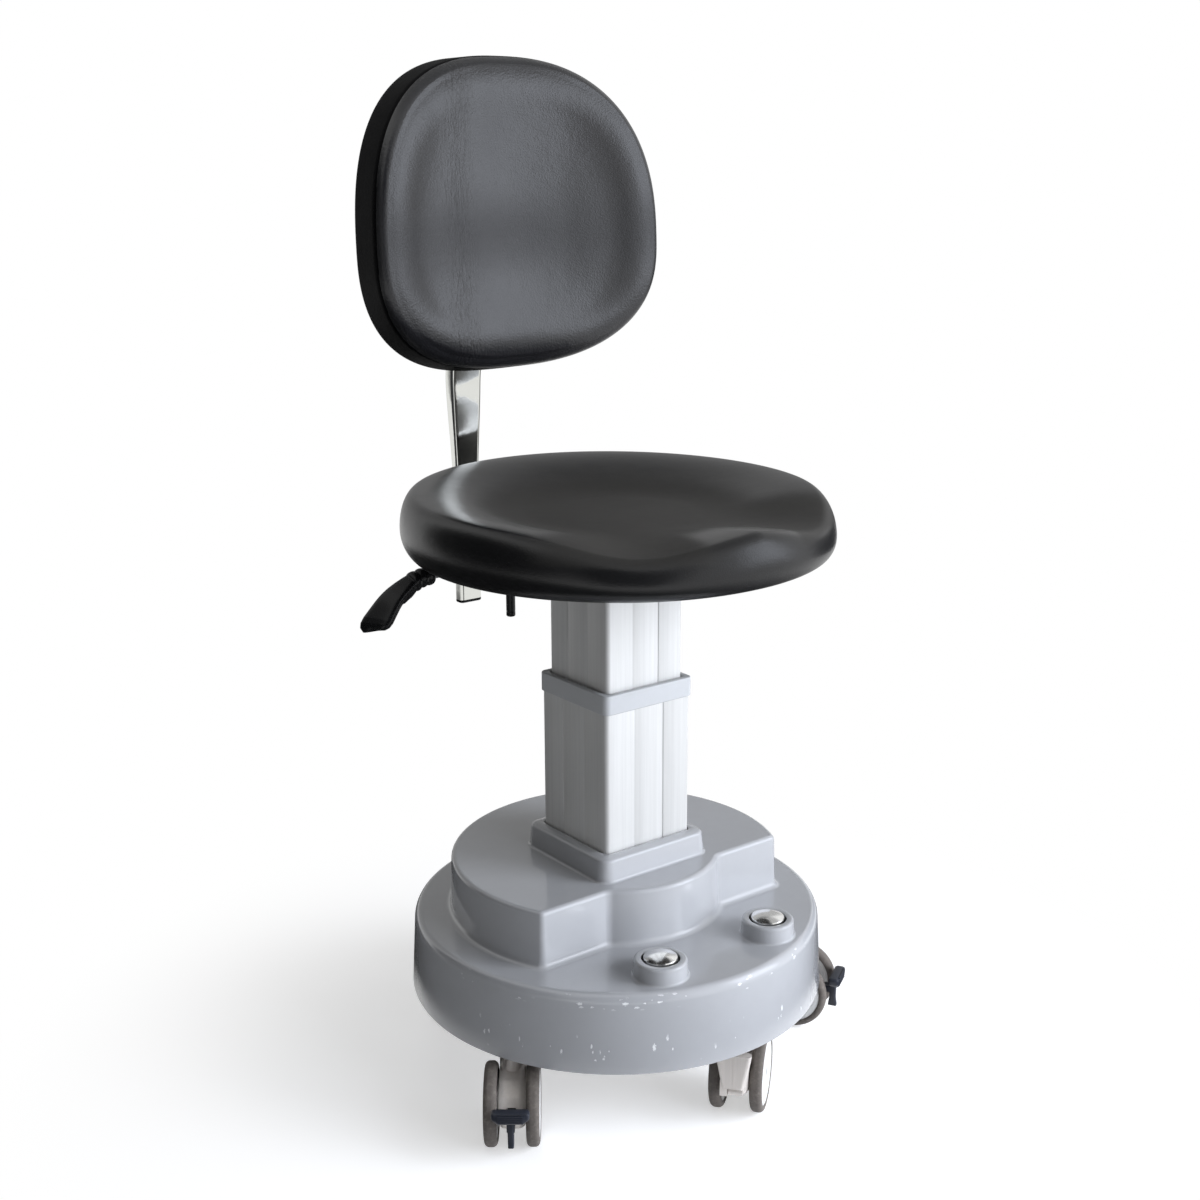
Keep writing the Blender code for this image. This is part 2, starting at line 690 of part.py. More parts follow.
def grooved_square(width):
    """Outline of a square extrusion with two fine grooves down each face."""
    half = width / 2.0
    face = arc(half - COLUMN_CORNER, half - COLUMN_CORNER, COLUMN_CORNER, 0.0, pi / 2.0, CORNER_STEPS)
    for centre in (GROOVE_PLACE * width, -GROOVE_PLACE * width):
        near = centre + GROOVE_WIDTH / 2.0
        far = centre - GROOVE_WIDTH / 2.0
        face += [(near, half), (near, half - GROOVE_DEPTH), (far, half - GROOVE_DEPTH), (far, half)]
    outline = []
    for quarter in range(4):
        turn = quarter * pi / 2.0
        for x, y in face:
            outline.append((x * cos(turn) - y * sin(turn), x * sin(turn) + y * cos(turn)))
    return outline


def square_tube(width, wall, low, high):
    """A grooved square tube."""
    tube = prism(grooved_square(width), low, high)
    bore = width - 2.0 * wall
    inside = rounded_rectangle(bore, bore, COLUMN_CORNER / 2.0, INNER_CORNER_STEPS)
    return cut(tube, prism(inside, low - wall, high + wall))


def add_column(root, lift, finishes):
    """The two column tubes, the collar and glide between them, and the lift inside."""
    lower = square_tube(LOWER_COLUMN_WIDTH, LOWER_COLUMN_WALL, ON_PLATE_Z, LOWER_COLUMN_TOP_Z)
    place(lower, "lower_column", finishes["anodised"], root)

    outside = LOWER_COLUMN_WIDTH + 2.0 * COLLAR_PROUD
    collar = prism(rounded_rectangle(outside, outside, COLUMN_CORNER + COLLAR_PROUD, CORNER_STEPS),
                   COLLAR_Z, COLLAR_TOP_Z)
    pocket = LOWER_COLUMN_WIDTH + 2.0 * GAP
    cut(collar, prism(rounded_rectangle(pocket, pocket, COLUMN_CORNER, CORNER_STEPS),
                      COLLAR_Z - COLLAR_LIP, COLLAR_TOP_Z - COLLAR_LIP))
    mouth = UPPER_COLUMN_WIDTH + 2.0 * RUNNING_GAP
    cut(collar, prism(rounded_rectangle(mouth, mouth, COLUMN_CORNER, CORNER_STEPS),
                      COLLAR_Z, COLLAR_TOP_Z + COLLAR_LIP))
    place(collar, "column_collar", finishes["collar_grey"], root)

    motor_top = ON_PLATE_Z + MOTOR_LENGTH
    motor = rod(MOTOR_RADIUS, ON_PLATE_Z, motor_top, SEGMENTS_MEDIUM, HOUSING_EDGE)
    place(motor, "lift_motor", finishes["black_steel"], root)
    gearbox_top = motor_top + GAP + GEARBOX_LENGTH
    gearbox = rod(GEARBOX_RADIUS, motor_top + GAP, gearbox_top, SEGMENTS_MEDIUM, HOUSING_EDGE)
    place(gearbox, "lift_gearbox", finishes["steel"], root)
    tube_z = gearbox_top + GAP
    tube_top = tube_z + LIFT_TUBE_LENGTH
    bore = LIFT_TUBE_RADIUS - LIFT_TUBE_WALL
    tube = ring([(LIFT_TUBE_RADIUS, tube_z), (LIFT_TUBE_RADIUS, tube_top), (bore, tube_top), (bore, tube_z)],
                SEGMENTS_MEDIUM)
    place(tube, "lift_tube", finishes["steel"], root)

    upper = square_tube(UPPER_COLUMN_WIDTH, UPPER_COLUMN_WALL, UPPER_COLUMN_Z, UPPER_COLUMN_TOP_Z)
    place(shift(upper, 0.0, 0.0, -CAP_Z), "upper_column", finishes["anodised"], lift)

    glide_width = LOWER_COLUMN_WIDTH - 2.0 * (LOWER_COLUMN_WALL + RUNNING_GAP)
    glide_top = UPPER_COLUMN_Z - GAP
    glide = prism(rounded_rectangle(glide_width, glide_width, COLUMN_CORNER / 2.0, INNER_CORNER_STEPS),
                  glide_top - GLIDE_THICKNESS, glide_top)
    cut(glide, prism(rounded_rectangle(GLIDE_OPENING, GLIDE_OPENING, COLUMN_CORNER, INNER_CORNER_STEPS),
                     glide_top - 2.0 * GLIDE_THICKNESS, glide_top + GLIDE_THICKNESS))
    place(shift(glide, 0.0, 0.0, -CAP_Z), "column_glide", finishes["glide_plastic"], lift)

    push = rod(LIFT_ROD_RADIUS, CAP_Z - GAP - LIFT_ROD_LENGTH, CAP_Z - GAP, SEGMENTS_MEDIUM)
    place(shift(push, 0.0, 0.0, -CAP_Z), "lift_rod", finishes["polished"], lift)

    cap = prism(rounded_rectangle(UPPER_COLUMN_WIDTH, UPPER_COLUMN_WIDTH, COLUMN_CORNER, CORNER_STEPS),
                CAP_Z, CAP_TOP_Z)
    join(cap, rod(SPINDLE_RADIUS, CAP_Z + CAP_THICKNESS / 2.0, CAP_TOP_Z + SPINDLE_HEIGHT, SEGMENTS_MEDIUM))
    place(shift(cap, 0.0, 0.0, -CAP_Z), "column_cap", finishes["steel"], lift)


# Seat

def seat_rim(front_angle):
    """Height of the seat's rim above its underside, at an angle from the front."""
    rise = SEAT_REAR_RISE * (1.0 - cos(front_angle)) / 2.0
    offset = (abs(front_angle) - SEAT_TROUGH_ANGLE) / SEAT_TROUGH_SPREAD
    return SEAT_RIM_HEIGHT + rise - SEAT_TROUGH_DEPTH * exp(-offset * offset)


def smooth_step(value):
    """A rise from 0 to 1 with level ends."""
    held = min(max(value, 0.0), 1.0)
    return held * held * (3.0 - 2.0 * held)


def row_shares(count):
    """Shares of a cushion's radius for rows that lie closer together near its edge."""
    return [1.0 - (row / (count + 1.0)) ** DISH_ROW_SPREAD for row in range(1, count + 1)]


def seat_section(front_angle):
    """Seat outline from the underside's edge round the rim to the middle, as (radius, height)."""
    rim = seat_rim(front_angle)
    bulge = SEAT_BULGE_PLACE * rim
    section = []
    for step in range(ROUND_STEPS + 1):
        turn = step * pi / 2.0 / ROUND_STEPS
        reach = SEAT_UNDERSIDE_RADIUS + (SEAT_RADIUS - SEAT_UNDERSIDE_RADIUS) * sin(turn)
        section.append((reach, bulge * (1.0 - cos(turn))))
    for step in range(1, ROUND_STEPS + 1):
        turn = step * pi / 2.0 / ROUND_STEPS
        reach = SEAT_CREST_RADIUS + (SEAT_RADIUS - SEAT_CREST_RADIUS) * cos(turn)
        section.append((reach, bulge + (rim - bulge) * sin(turn)))
    for share in row_shares(DISH_ROWS):
        lift = smooth_step((share - SEAT_DISH_FLOOR) / (1.0 - SEAT_DISH_FLOOR))
        section.append((share * SEAT_CREST_RADIUS, SEAT_DISH_HEIGHT + (rim - SEAT_DISH_HEIGHT) * lift))
    return section


def seat_form():
    """Saddle seat: raised rear rim, pommel at the front, a trough for each thigh and a dish."""
    columns = []
    for step in range(SEGMENTS_CUSHION):
        front_angle = -pi + tau * step / SEGMENTS_CUSHION
        columns.append((front_angle, seat_section(front_angle)))
    rings = []
    for row in range(len(columns[0][1])):
        points = []
        for front_angle, section in columns:
            radius, height = section[row]
            points.append((radius * sin(front_angle), -radius * cos(front_angle), height))
        rings.append(points)
    return closed_rings(rings, (0.0, 0.0, 0.0), (0.0, 0.0, SEAT_DISH_HEIGHT))


def add_seat(swivel, finishes):
    """Swivel hub, seat plate, board and cushion."""
    bore = SPINDLE_RADIUS + RUNNING_GAP
    top = SWIVEL_HUB_HEIGHT
    hub = ring([(SWIVEL_HUB_RADIUS, 0.0), (SWIVEL_HUB_RADIUS, top), (bore, top), (bore, 0.0)], SEGMENTS_MEDIUM)
    place(hub, "swivel_hub", finishes["black_steel"], swivel)

    low = (-SEAT_PLATE_WIDTH / 2.0, -SEAT_PLATE_FRONT, SEAT_PLATE_Z - SWIVEL_HUB_Z)
    high = (SEAT_PLATE_WIDTH / 2.0, SEAT_PLATE_REAR, low[2] + SEAT_PLATE_THICKNESS)
    place(box(low, high), "seat_plate", finishes["black_steel"], swivel)

    board_z = SEAT_BOARD_Z - SWIVEL_HUB_Z
    board = rod(SEAT_BOARD_RADIUS, board_z, board_z + SEAT_BOARD_THICKNESS, SEGMENTS_CUSHION, SEAT_BOARD_EDGE)
    place(board, "seat_board", finishes["plywood"], swivel, (0.0, -SEAT_FORWARD, 0.0))

    cushion_place = (0.0, -SEAT_FORWARD, SEAT_Z - SWIVEL_HUB_Z)
    place(seat_form(), "seat_cushion", finishes["seat_vinyl"], swivel, cushion_place, SOFT_ANGLE)


# Backrest mechanism

def pin_hole(radius, y, z, left, right):
    """A cutter along X."""
    return shift(turn_to_x(rod(radius, left, right)), 0.0, y, z)


def add_tilt(swivel, tilt, depth, clamp, finishes):
    """Bracket and pin under the seat, the sleeve that rocks on the pin, the arm and its clamp."""
    drop = BRACKET_TOP_Z - BRACKET_DROP
    web = BRACKET_TOP_Z - BRACKET_WEB_THICKNESS
    outline = [(-EAR_OUTER_X, drop), (-EAR_INNER_X, drop), (-EAR_INNER_X, web), (EAR_INNER_X, web),
               (EAR_INNER_X, drop), (EAR_OUTER_X, drop), (EAR_OUTER_X, BRACKET_TOP_Z),
               (-EAR_OUTER_X, BRACKET_TOP_Z)]
    bracket = loft([[(x, y, z) for x, z in outline] for y in (BRACKET_FRONT, BRACKET_REAR)])
    reach = EAR_OUTER_X + PIN_OVERHANG
    cut(bracket, pin_hole(TILT_PIN_RADIUS + RUNNING_GAP, TILT_PIN_Y, TILT_PIN_Z, -reach, reach))
    cut(bracket, pin_hole(LEVER_ROD_RADIUS + LEVER_HOLE_GAP, LEVER_Y, LEVER_Z, -reach, -EAR_INNER_X / 2.0))
    place(shift(bracket, 0.0, 0.0, -SWIVEL_HUB_Z), "tilt_bracket", finishes["black_steel"], swivel)

    pin = turn_to_x(rod(TILT_PIN_RADIUS, -reach, reach, SEGMENTS_SMALL, PIN_EDGE))
    place(pin, "tilt_pin", finishes["steel"], swivel, (0.0, TILT_PIN_Y, TILT_PIN_Z - SWIVEL_HUB_Z))

    half_x = SLEEVE_WIDTH / 2.0
    half_z = SLEEVE_HEIGHT / 2.0
    front = SLEEVE_FRONT - TILT_PIN_Y
    rear = SLEEVE_REAR - TILT_PIN_Y
    sleeve = box((-half_x, front, -half_z), (half_x, rear, half_z))
    slot_x = ARM_WIDTH / 2.0 + GAP
    slot_z = ARM_THICKNESS / 2.0 + GAP
    cut(sleeve, box((-slot_x, front - half_z, -slot_z), (slot_x, rear + half_z, slot_z)))
    cut(sleeve, pin_hole(TILT_PIN_RADIUS + RUNNING_GAP, 0.0, 0.0, -reach, reach))
    screw_hole = rod(CLAMP_SCREW_RADIUS + RUNNING_GAP, -SLEEVE_HEIGHT, 0.0)
    cut(sleeve, shift(screw_hole, 0.0, CLAMP_Y - TILT_PIN_Y, 0.0))
    place(sleeve, "tilt_sleeve", finishes["black_steel"], tilt)

    shoulder = -half_z - GAP
    tip = -ARM_THICKNESS / 2.0 - GAP
    ledge = shoulder - CLAMP_SHOULDER_HEIGHT
    end = ledge - CLAMP_HANDLE_LENGTH
    round_end = arc(0.0, end + CLAMP_HANDLE_RADIUS, CLAMP_HANDLE_RADIUS, -pi / 2.0, 0.0, ROUND_STEPS)
    profile = round_end + [(CLAMP_HANDLE_RADIUS, ledge), (CLAMP_SHOULDER_RADIUS, ledge)]
    profile += [(CLAMP_SHOULDER_RADIUS, shoulder), (CLAMP_SCREW_RADIUS, shoulder)]
    profile += [(CLAMP_SCREW_RADIUS, tip), (0.0, tip)]
    place(turned(profile, SEGMENTS_SMALL), "clamp_screw", finishes["black_plastic"], clamp)

    arm_rear = POST_Y - SOCKET_HALF_DEPTH - GAP
    low = (-ARM_WIDTH / 2.0, ARM_FRONT - POST_Y, -ARM_THICKNESS / 2.0)
    high = (ARM_WIDTH / 2.0, arm_rear - POST_Y, ARM_THICKNESS / 2.0)
    place(box(low, high), "back_arm", finishes["black_steel"], depth)

    bottom = -SOCKET_BELOW_ARM
    outline = rounded_rectangle(2.0 * SOCKET_HALF_WIDTH, 2.0 * SOCKET_HALF_DEPTH, SOCKET_CORNER, CORNER_STEPS)
    socket = prism(outline, bottom, bottom + SOCKET_HEIGHT)
    bore = rounded_rectangle(POST_WIDTH + 2.0 * GAP, POST_DEPTH + 2.0 * GAP, POST_CORNER, CORNER_STEPS)
    cut(socket, prism(bore, bottom - SOCKET_WALL, bottom + SOCKET_HEIGHT + SOCKET_WALL))
    place(socket, "post_socket", finishes["black_plastic"], depth)


def add_lever(lever, finishes):
    """Lever rod held in the bracket's ear, and its paddle grip with a ribbed neck."""
    inner = EAR_MIDDLE_X - EAR_INNER_X
    bar = rod(LEVER_ROD_RADIUS, -LEVER_ROD_LENGTH, inner, SEGMENTS_SMALL, PIN_EDGE)
    place(turn_to_x(bar), "lever_rod", finishes["steel"], lever)

    places = []
    ribs = RIB_POINT_COUNT * GRIP_RIB_COUNT
    for step in range(ribs + 1):
        swell = GRIP_RIB_HEIGHT if step % RIB_POINT_COUNT == 1 else 0.0
        radius = GRIP_NECK_RADIUS + swell
        places.append((GRIP_NECK_LENGTH * step / ribs, 2.0 * radius, 2.0 * radius))
    paddle = GRIP_LENGTH - GRIP_NECK_LENGTH
    for share, width, thickness in GRIP_STATIONS:
        places.append((GRIP_NECK_LENGTH + share * paddle, width * GRIP_WIDTH, thickness * GRIP_THICKNESS))
    sections = []
    for along, width, thickness in places:
        bend = smooth_step(along / GRIP_NECK_LENGTH) * GRIP_DROOP
        run = along * cos(bend)
        sink = along * sin(bend) * smooth_step(along / GRIP_NECK_LENGTH)
        centre = Vector((-LEVER_ROD_LENGTH - GAP - run, 0.0, -sink))
        normal = Vector((-sin(bend), 0.0, cos(bend)))
        points = []
        for step in range(SEGMENTS_GRIP):
            angle = tau * step / SEGMENTS_GRIP
            side = Vector((0.0, width / 2.0 * cos(angle), 0.0))
            points.append(centre + side + normal * (thickness / 2.0 * sin(angle)))
        sections.append(points)
    place(loft(sections), "lever_grip", finishes["black_plastic"], lever)


# Post and backrest

def post_centre(rise):
    """Depth of the post's middle at a height above the top of its straight part."""
    bend = smooth_step((rise - POST_BEND_START) / POST_BEND_LENGTH)
    above = POST_Z + POST_STRAIGHT + rise - BACK_Z
    return (POST_TOP_Y + above * tan(BACK_LEAN) - POST_Y) * bend


def add_post(post, finishes):
    """Flat post that widens upwards and bends in to the backrest, with a cap on its lower end."""
    start = POST_CAP_THICKNESS + GAP
    rises = [start - POST_STRAIGHT, 0.0]
    rises += [POST_BEND_START * row / POST_ROWS for row in range(1, POST_ROWS + 1)]
    rises += [POST_BEND_START + POST_BEND_LENGTH * row / POST_ROWS for row in range(1, POST_ROWS + 1)]
    rises.append(POST_BEND_START + POST_BEND_LENGTH + POST_TAIL)
    sections = []
    for rise in rises:
        flare = min(max(rise / POST_FLARE_LENGTH, 0.0), 1.0)
        width = POST_WIDTH + (POST_TOP_WIDTH - POST_WIDTH) * flare
        thickness = POST_DEPTH + (POST_TOP_DEPTH - POST_DEPTH) * flare
        outline = rounded_rectangle(width, thickness, POST_CORNER, CORNER_STEPS)
        sections.append([(x, y + post_centre(rise), POST_STRAIGHT + rise) for x, y in outline])
    place(loft(sections), "back_post", finishes["chrome"], post)
    cap = prism(rounded_rectangle(POST_WIDTH, POST_DEPTH, POST_CORNER, CORNER_STEPS), 0.0, POST_CAP_THICKNESS)
    place(cap, "post_end_cap", finishes["black_plastic"], post)


def back_outline(angle, deep, inset_x, inset_z):
    """Point of the backrest's outline seen from the front, at a share of its depth and drawn in."""
    power = 2.0 / BACK_ROUNDNESS
    across = copysign(abs(cos(angle)) ** power, cos(angle))
    up = copysign(abs(sin(angle)) ** power, sin(angle))
    half_width = BACK_HALF_WIDTH - deep * BACK_SIDE_DRAW - inset_x
    height = BACK_UPPER if up > 0.0 else BACK_LOWER + deep * BACK_UNDERCUT
    return across * half_width, up * (height - inset_z)


def back_point(x, depth, z):
    """A point of the backrest, bent round the sitter and leaning back."""
    return x, depth - x * x / (2.0 * BACK_CURVE_RADIUS) + z * tan(BACK_LEAN), z


def back_hollow(x, z):
    """Depth of the backrest's dish behind its front edge."""
    across = min(abs(x) / BACK_DISH_WIDTH, 1.0)
    up = min(abs(z) / (BACK_UPPER if z > 0.0 else BACK_LOWER), 1.0)
    offset = (z + BACK_LUMBAR_DROP) / BACK_LUMBAR_SPREAD
    shelter = 1.0 - across * across
    return BACK_DISH * shelter * (1.0 - up ** 4) - BACK_LUMBAR * shelter * exp(-offset * offset)


def back_ring(distance, inset_x, inset_z, share=1.0, hollow=0.0):
    """One ring of the backrest at a distance behind its front, drawn in to a share of the outline."""
    points = []
    for step in range(SEGMENTS_CUSHION):
        angle = tau * (step + 0.5) / SEGMENTS_CUSHION
        x, z = back_outline(angle, min(distance / BACK_THICKNESS, 1.0), inset_x, inset_z)
        points.append(back_point(share * x, distance + hollow * back_hollow(share * x, share * z), share * z))
    return points


def rear_rings(distance):
    """Rings of the backrest's rear side, from near its middle out to the board's edge."""
    rings = []
    for row in range(1, BACK_REAR_ROWS + 1):
        share = BACK_BOARD_SHARE * row / BACK_REAR_ROWS
        rings.append(back_ring(distance, BACK_REAR_EDGE, BACK_REAR_EDGE, share))
    return rings


def back_form():
    """Backrest pad: curved rear, drawn-in sides, soft edges, dished front with a lumbar band."""
    rings = rear_rings(BACK_THICKNESS)
    for step in range(EDGE_STEPS, -1, -1):
        turn = step * pi / 2.0 / EDGE_STEPS
        inset = BACK_REAR_EDGE * (1.0 - cos(turn))
        rings.append(back_ring(BACK_THICKNESS - BACK_REAR_EDGE * (1.0 - sin(turn)), inset, inset))
    for step in range(ROUND_STEPS + 1):
        turn = step * pi / 2.0 / ROUND_STEPS
        draw = 1.0 - cos(turn)
        distance = BACK_FRONT_EDGE * (1.0 - sin(turn))
        rings.append(back_ring(distance, BACK_CREASE_SIDE * draw, BACK_CREASE_END * draw))
    for share in row_shares(DISH_ROWS):
        rings.append(back_ring(0.0, BACK_CREASE_SIDE, BACK_CREASE_END, share, 1.0))
    return closed_rings(rings, (0.0, BACK_THICKNESS, 0.0), (0.0, back_hollow(0.0, 0.0), 0.0))


def add_backrest(post, finishes):
    """Bracket on the post's top, board and cushion."""
    rise = BACK_Z - POST_Z
    outline = rounded_rectangle(BACK_BRACKET_WIDTH, BACK_BRACKET_HEIGHT, BACK_BRACKET_CORNER, CORNER_STEPS)
    plate = loft([[(x, y + z * tan(BACK_LEAN), z) for x, z in outline] for y in (0.0, BACK_BRACKET_THICKNESS)])
    place(plate, "back_bracket", finishes["black_steel"], post, (0.0, BACK_BRACKET_Y - POST_Y, rise))

    near = BACK_THICKNESS + GAP
    far = near + BACK_BOARD_THICKNESS
    rings = rear_rings(near) + rear_rings(far)[::-1]
    board = closed_rings(rings, (0.0, near, 0.0), (0.0, far, 0.0))
    place(board, "back_board", finishes["black_plastic"], post, (0.0, BACK_FRONT_Y - POST_Y, rise))

    cushion_place = (0.0, BACK_FRONT_Y - POST_Y, rise)
    place(back_form(), "back_cushion", finishes["back_vinyl"], post, cushion_place, SOFT_ANGLE)


# Casters

def caster_places():
    """Stem positions round the base."""
    return circle_places(CASTER_CIRCLE_RADIUS, FIRST_CASTER_ANGLE, CASTER_COUNT)


def circle_places(radius, first, count):
    """Even places round a circle from a first angle."""
    places = []
    for index in range(count):
        angle = first + tau * index / count
        places.append((radius * cos(angle), radius * sin(angle)))
    return places


def fork_form():
    """Fork between the wheels: stem, neck, body round the axle, and a hood ahead of the wheels."""
    top = PLATE_Z - GAP
    crown = 2.0 * WHEEL_RADIUS
    half = FORK_WIDTH / 2.0
    lead = CASTER_TRAIL - WHEEL_RADIUS
    side = [(lead - FORK_NOSE, crown - FORK_NOSE), (lead - FORK_NOSE, WHEEL_RADIUS + FORK_NOSE_RISE),
            (lead + FORK_CHIN, WHEEL_RADIUS)]
    side += arc(CASTER_TRAIL, WHEEL_RADIUS, FORK_AXLE_BOSS, *FORK_BOSS_SWEEP, 2 * ROUND_STEPS)
    side += [(CASTER_TRAIL + FORK_TAIL_REACH, WHEEL_RADIUS + FORK_TAIL_RISE),
             (CASTER_TRAIL + FORK_BACK_REACH, WHEEL_RADIUS + FORK_BACK_RISE),
             (CASTER_TRAIL - FORK_TOP_SETBACK, crown + FORK_CROWN_RISE), (0.0, crown + FORK_CROWN_RISE)]
    body = loft([[(x, y, z) for y, z in side] for x in (-half, half)])
    neck_foot = crown - FORK_NECK_SINK
    shoulder = top - FORK_SHOULDER_HEIGHT
    neck = [(0.0, neck_foot), (FORK_NECK_RADIUS, neck_foot), (FORK_NECK_RADIUS, shoulder)]
    neck += [(FORK_SHOULDER_RADIUS, shoulder), (FORK_SHOULDER_RADIUS, top), (STEM_RADIUS, top)]
    neck += [(STEM_RADIUS, top + STEM_LENGTH), (0.0, top + STEM_LENGTH)]
    join(body, turned(neck, SEGMENTS_SMALL))
    wide = HOOD_TOP_WIDTH / 2.0
    narrow = HOOD_FOOT_WIDTH / 2.0
    hood = [(-wide, crown), (-narrow, WHEEL_RADIUS), (narrow, WHEEL_RADIUS), (wide, crown)]
    near = lead - PEDAL_CLEARANCE
    join(body, loft([[(x, y, z) for x, z in hood] for y in (near - HOOD_DEPTH, near)]))
    cut(body, pin_hole(AXLE_RADIUS + RUNNING_GAP, CASTER_TRAIL, WHEEL_RADIUS, -FORK_WIDTH, FORK_WIDTH))
    slot = PEDAL_ARM_WIDTH / 2.0 + RUNNING_GAP
    pivot_y = CASTER_TRAIL + PEDAL_PIVOT_REACH
    pivot_z = WHEEL_RADIUS + PEDAL_PIVOT_RISE
    low = (-slot, pivot_y - PEDAL_ARM_HEIGHT / 2.0 - GAP, pivot_z - PEDAL_SLOT_DROP)
    high = (slot, pivot_y + WHEEL_RADIUS, crown + FORK_SHOULDER_HEIGHT)
    return cut(body, box(low, high))


def wheel_form():
    """One wheel about Z with a crowned tyre and a bore."""
    bore = AXLE_RADIUS + RUNNING_GAP
    shoulder = WHEEL_RADIUS - TYRE_CROWN
    profile = [(bore, 0.0), (shoulder, 0.0), (WHEEL_RADIUS, TYRE_CROWN),
               (WHEEL_RADIUS, WHEEL_WIDTH - TYRE_CROWN), (shoulder, WHEEL_WIDTH), (bore, WHEEL_WIDTH)]
    return ring(profile, SEGMENTS_MEDIUM)


def pedal_form():
    """Lock pedal about its pivot: eye and arm between the wheels, pad behind them, fin below."""
    half = PEDAL_ARM_WIDTH / 2.0
    thick = PEDAL_ARM_HEIGHT / 2.0
    pad_y = WHEEL_RADIUS - PEDAL_PIVOT_REACH + PEDAL_CLEARANCE
    eye = arc(0.0, 0.0, thick, pi / 2.0, 3.0 * pi / 2.0, 2 * ROUND_STEPS)
    arm_end = pad_y + PEDAL_DEPTH / 2.0
    arm_side = eye + [(arm_end, -thick), (arm_end, thick)]
    pedal = loft([[(x, y, z) for y, z in arm_side] for x in (-half, half)])
    pad = rounded_rectangle(PEDAL_WIDTH, PEDAL_HEIGHT, PEDAL_CORNER, CORNER_STEPS)
    join(pedal, loft([[(x, y, z - PEDAL_SINK) for x, z in pad] for y in (pad_y, pad_y + PEDAL_DEPTH)]))
    fin_y = pad_y - PEDAL_FIN_SETBACK
    fin = box((-PEDAL_FIN_WIDTH / 2.0, fin_y, -PEDAL_SINK - PEDAL_FIN_DROP),
              (PEDAL_FIN_WIDTH / 2.0, fin_y + PEDAL_FIN_DEPTH, 0.0))
    return join(pedal, fin)


def add_caster(root, index, x, y, finishes):
    """One caster on its own swivel axis, with two wheels and a lock pedal."""
    name = f"caster_{index + 1}"
    swivel = marker(f"{name}_swivel", root, (x, y, 0.0), CASTER_TURNS[index] - pi / 2.0)
    place(fork_form(), f"{name}_fork", finishes["nickel"], swivel)
    axle_place = (0.0, CASTER_TRAIL, WHEEL_RADIUS)
    reach = WHEEL_INNER_X + WHEEL_WIDTH - AXLE_SETBACK
    axle = turn_to_x(rod(AXLE_RADIUS, -reach, reach, SEGMENTS_SMALL, PIN_EDGE))
    place(axle, f"{name}_axle", finishes["steel"], swivel, axle_place)
    for side, word in ((-1.0, "left"), (1.0, "right")):
        wheel = shift(wheel_form(), 0.0, 0.0, WHEEL_INNER_X)
        wheel.data.transform(Matrix.Rotation(side * pi / 2.0, 4, "Y"))
        place(wheel, f"{name}_wheel_{word}", finishes["tyre"], swivel, axle_place)
    pivot = (0.0, CASTER_TRAIL + PEDAL_PIVOT_REACH, WHEEL_RADIUS + PEDAL_PIVOT_RISE)
    place(pedal_form(), f"{name}_pedal", finishes["pedal_plastic"], swivel, pivot)


# The whole stool

def centre_on_footprint(root):
    """Move the stool so that the origin is on the floor in the middle of its box."""
    bpy.context.view_layer.update()
    corners = []
    for piece in bpy.data.objects:
        if piece.type == "MESH":
            corners += [piece.matrix_world @ vertex.co for vertex in piece.data.vertices]
    lows = [min(corner[axis] for corner in corners) for axis in range(3)]
    highs = [max(corner[axis] for corner in corners) for axis in range(3)]
    root.location = (-(lows[0] + highs[0]) / 2.0, -(lows[1] + highs[1]) / 2.0, -lows[2])


def build():
    """Make every piece and hang it on its joint."""
    clear_scene()
    finishes = make_finishes()
    root = marker("stool", None, (0.0, 0.0, 0.0))
    add_base(root, finishes)
    add_buttons(root, finishes)
    lift = marker("lift_slide", root, (0.0, 0.0, CAP_Z))
    add_column(root, lift, finishes)
    swivel = marker("seat_swivel", lift, (0.0, 0.0, SWIVEL_HUB_Z - CAP_Z))
    add_seat(swivel, finishes)
    tilt = marker("back_tilt", swivel, (0.0, TILT_PIN_Y, TILT_PIN_Z - SWIVEL_HUB_Z))
    depth = marker("back_depth", tilt, (0.0, POST_Y - TILT_PIN_Y, 0.0))
    clamp = marker("clamp_turn", tilt, (0.0, CLAMP_Y - TILT_PIN_Y, 0.0))
    add_tilt(swivel, tilt, depth, clamp, finishes)
    lever = marker("lever_hinge", swivel, (-EAR_MIDDLE_X, LEVER_Y, LEVER_Z - SWIVEL_HUB_Z))
    add_lever(lever, finishes)
    post = marker("post_slide", depth, (0.0, 0.0, POST_Z - TILT_PIN_Z))
    add_post(post, finishes)
    add_backrest(post, finishes)
    for index, (x, y) in enumerate(caster_places()):
        add_caster(root, index, x, y, finishes)
    centre_on_footprint(root)


build()
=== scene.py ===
"""Looks of a surgeon stool: cover, column, pads, post, lever, casters, finishes and the stage.

Laid out as a Blender add-on and run as a script. Metres, +Z up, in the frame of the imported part: the stool
faces -Y, and each piece takes its place from the part's nodes and joints.
"""

import json
from math import atan2, cos, pi, radians, sqrt, tan, tau

import bmesh
import bpy
import numpy as np
from mathutils import Matrix, Vector


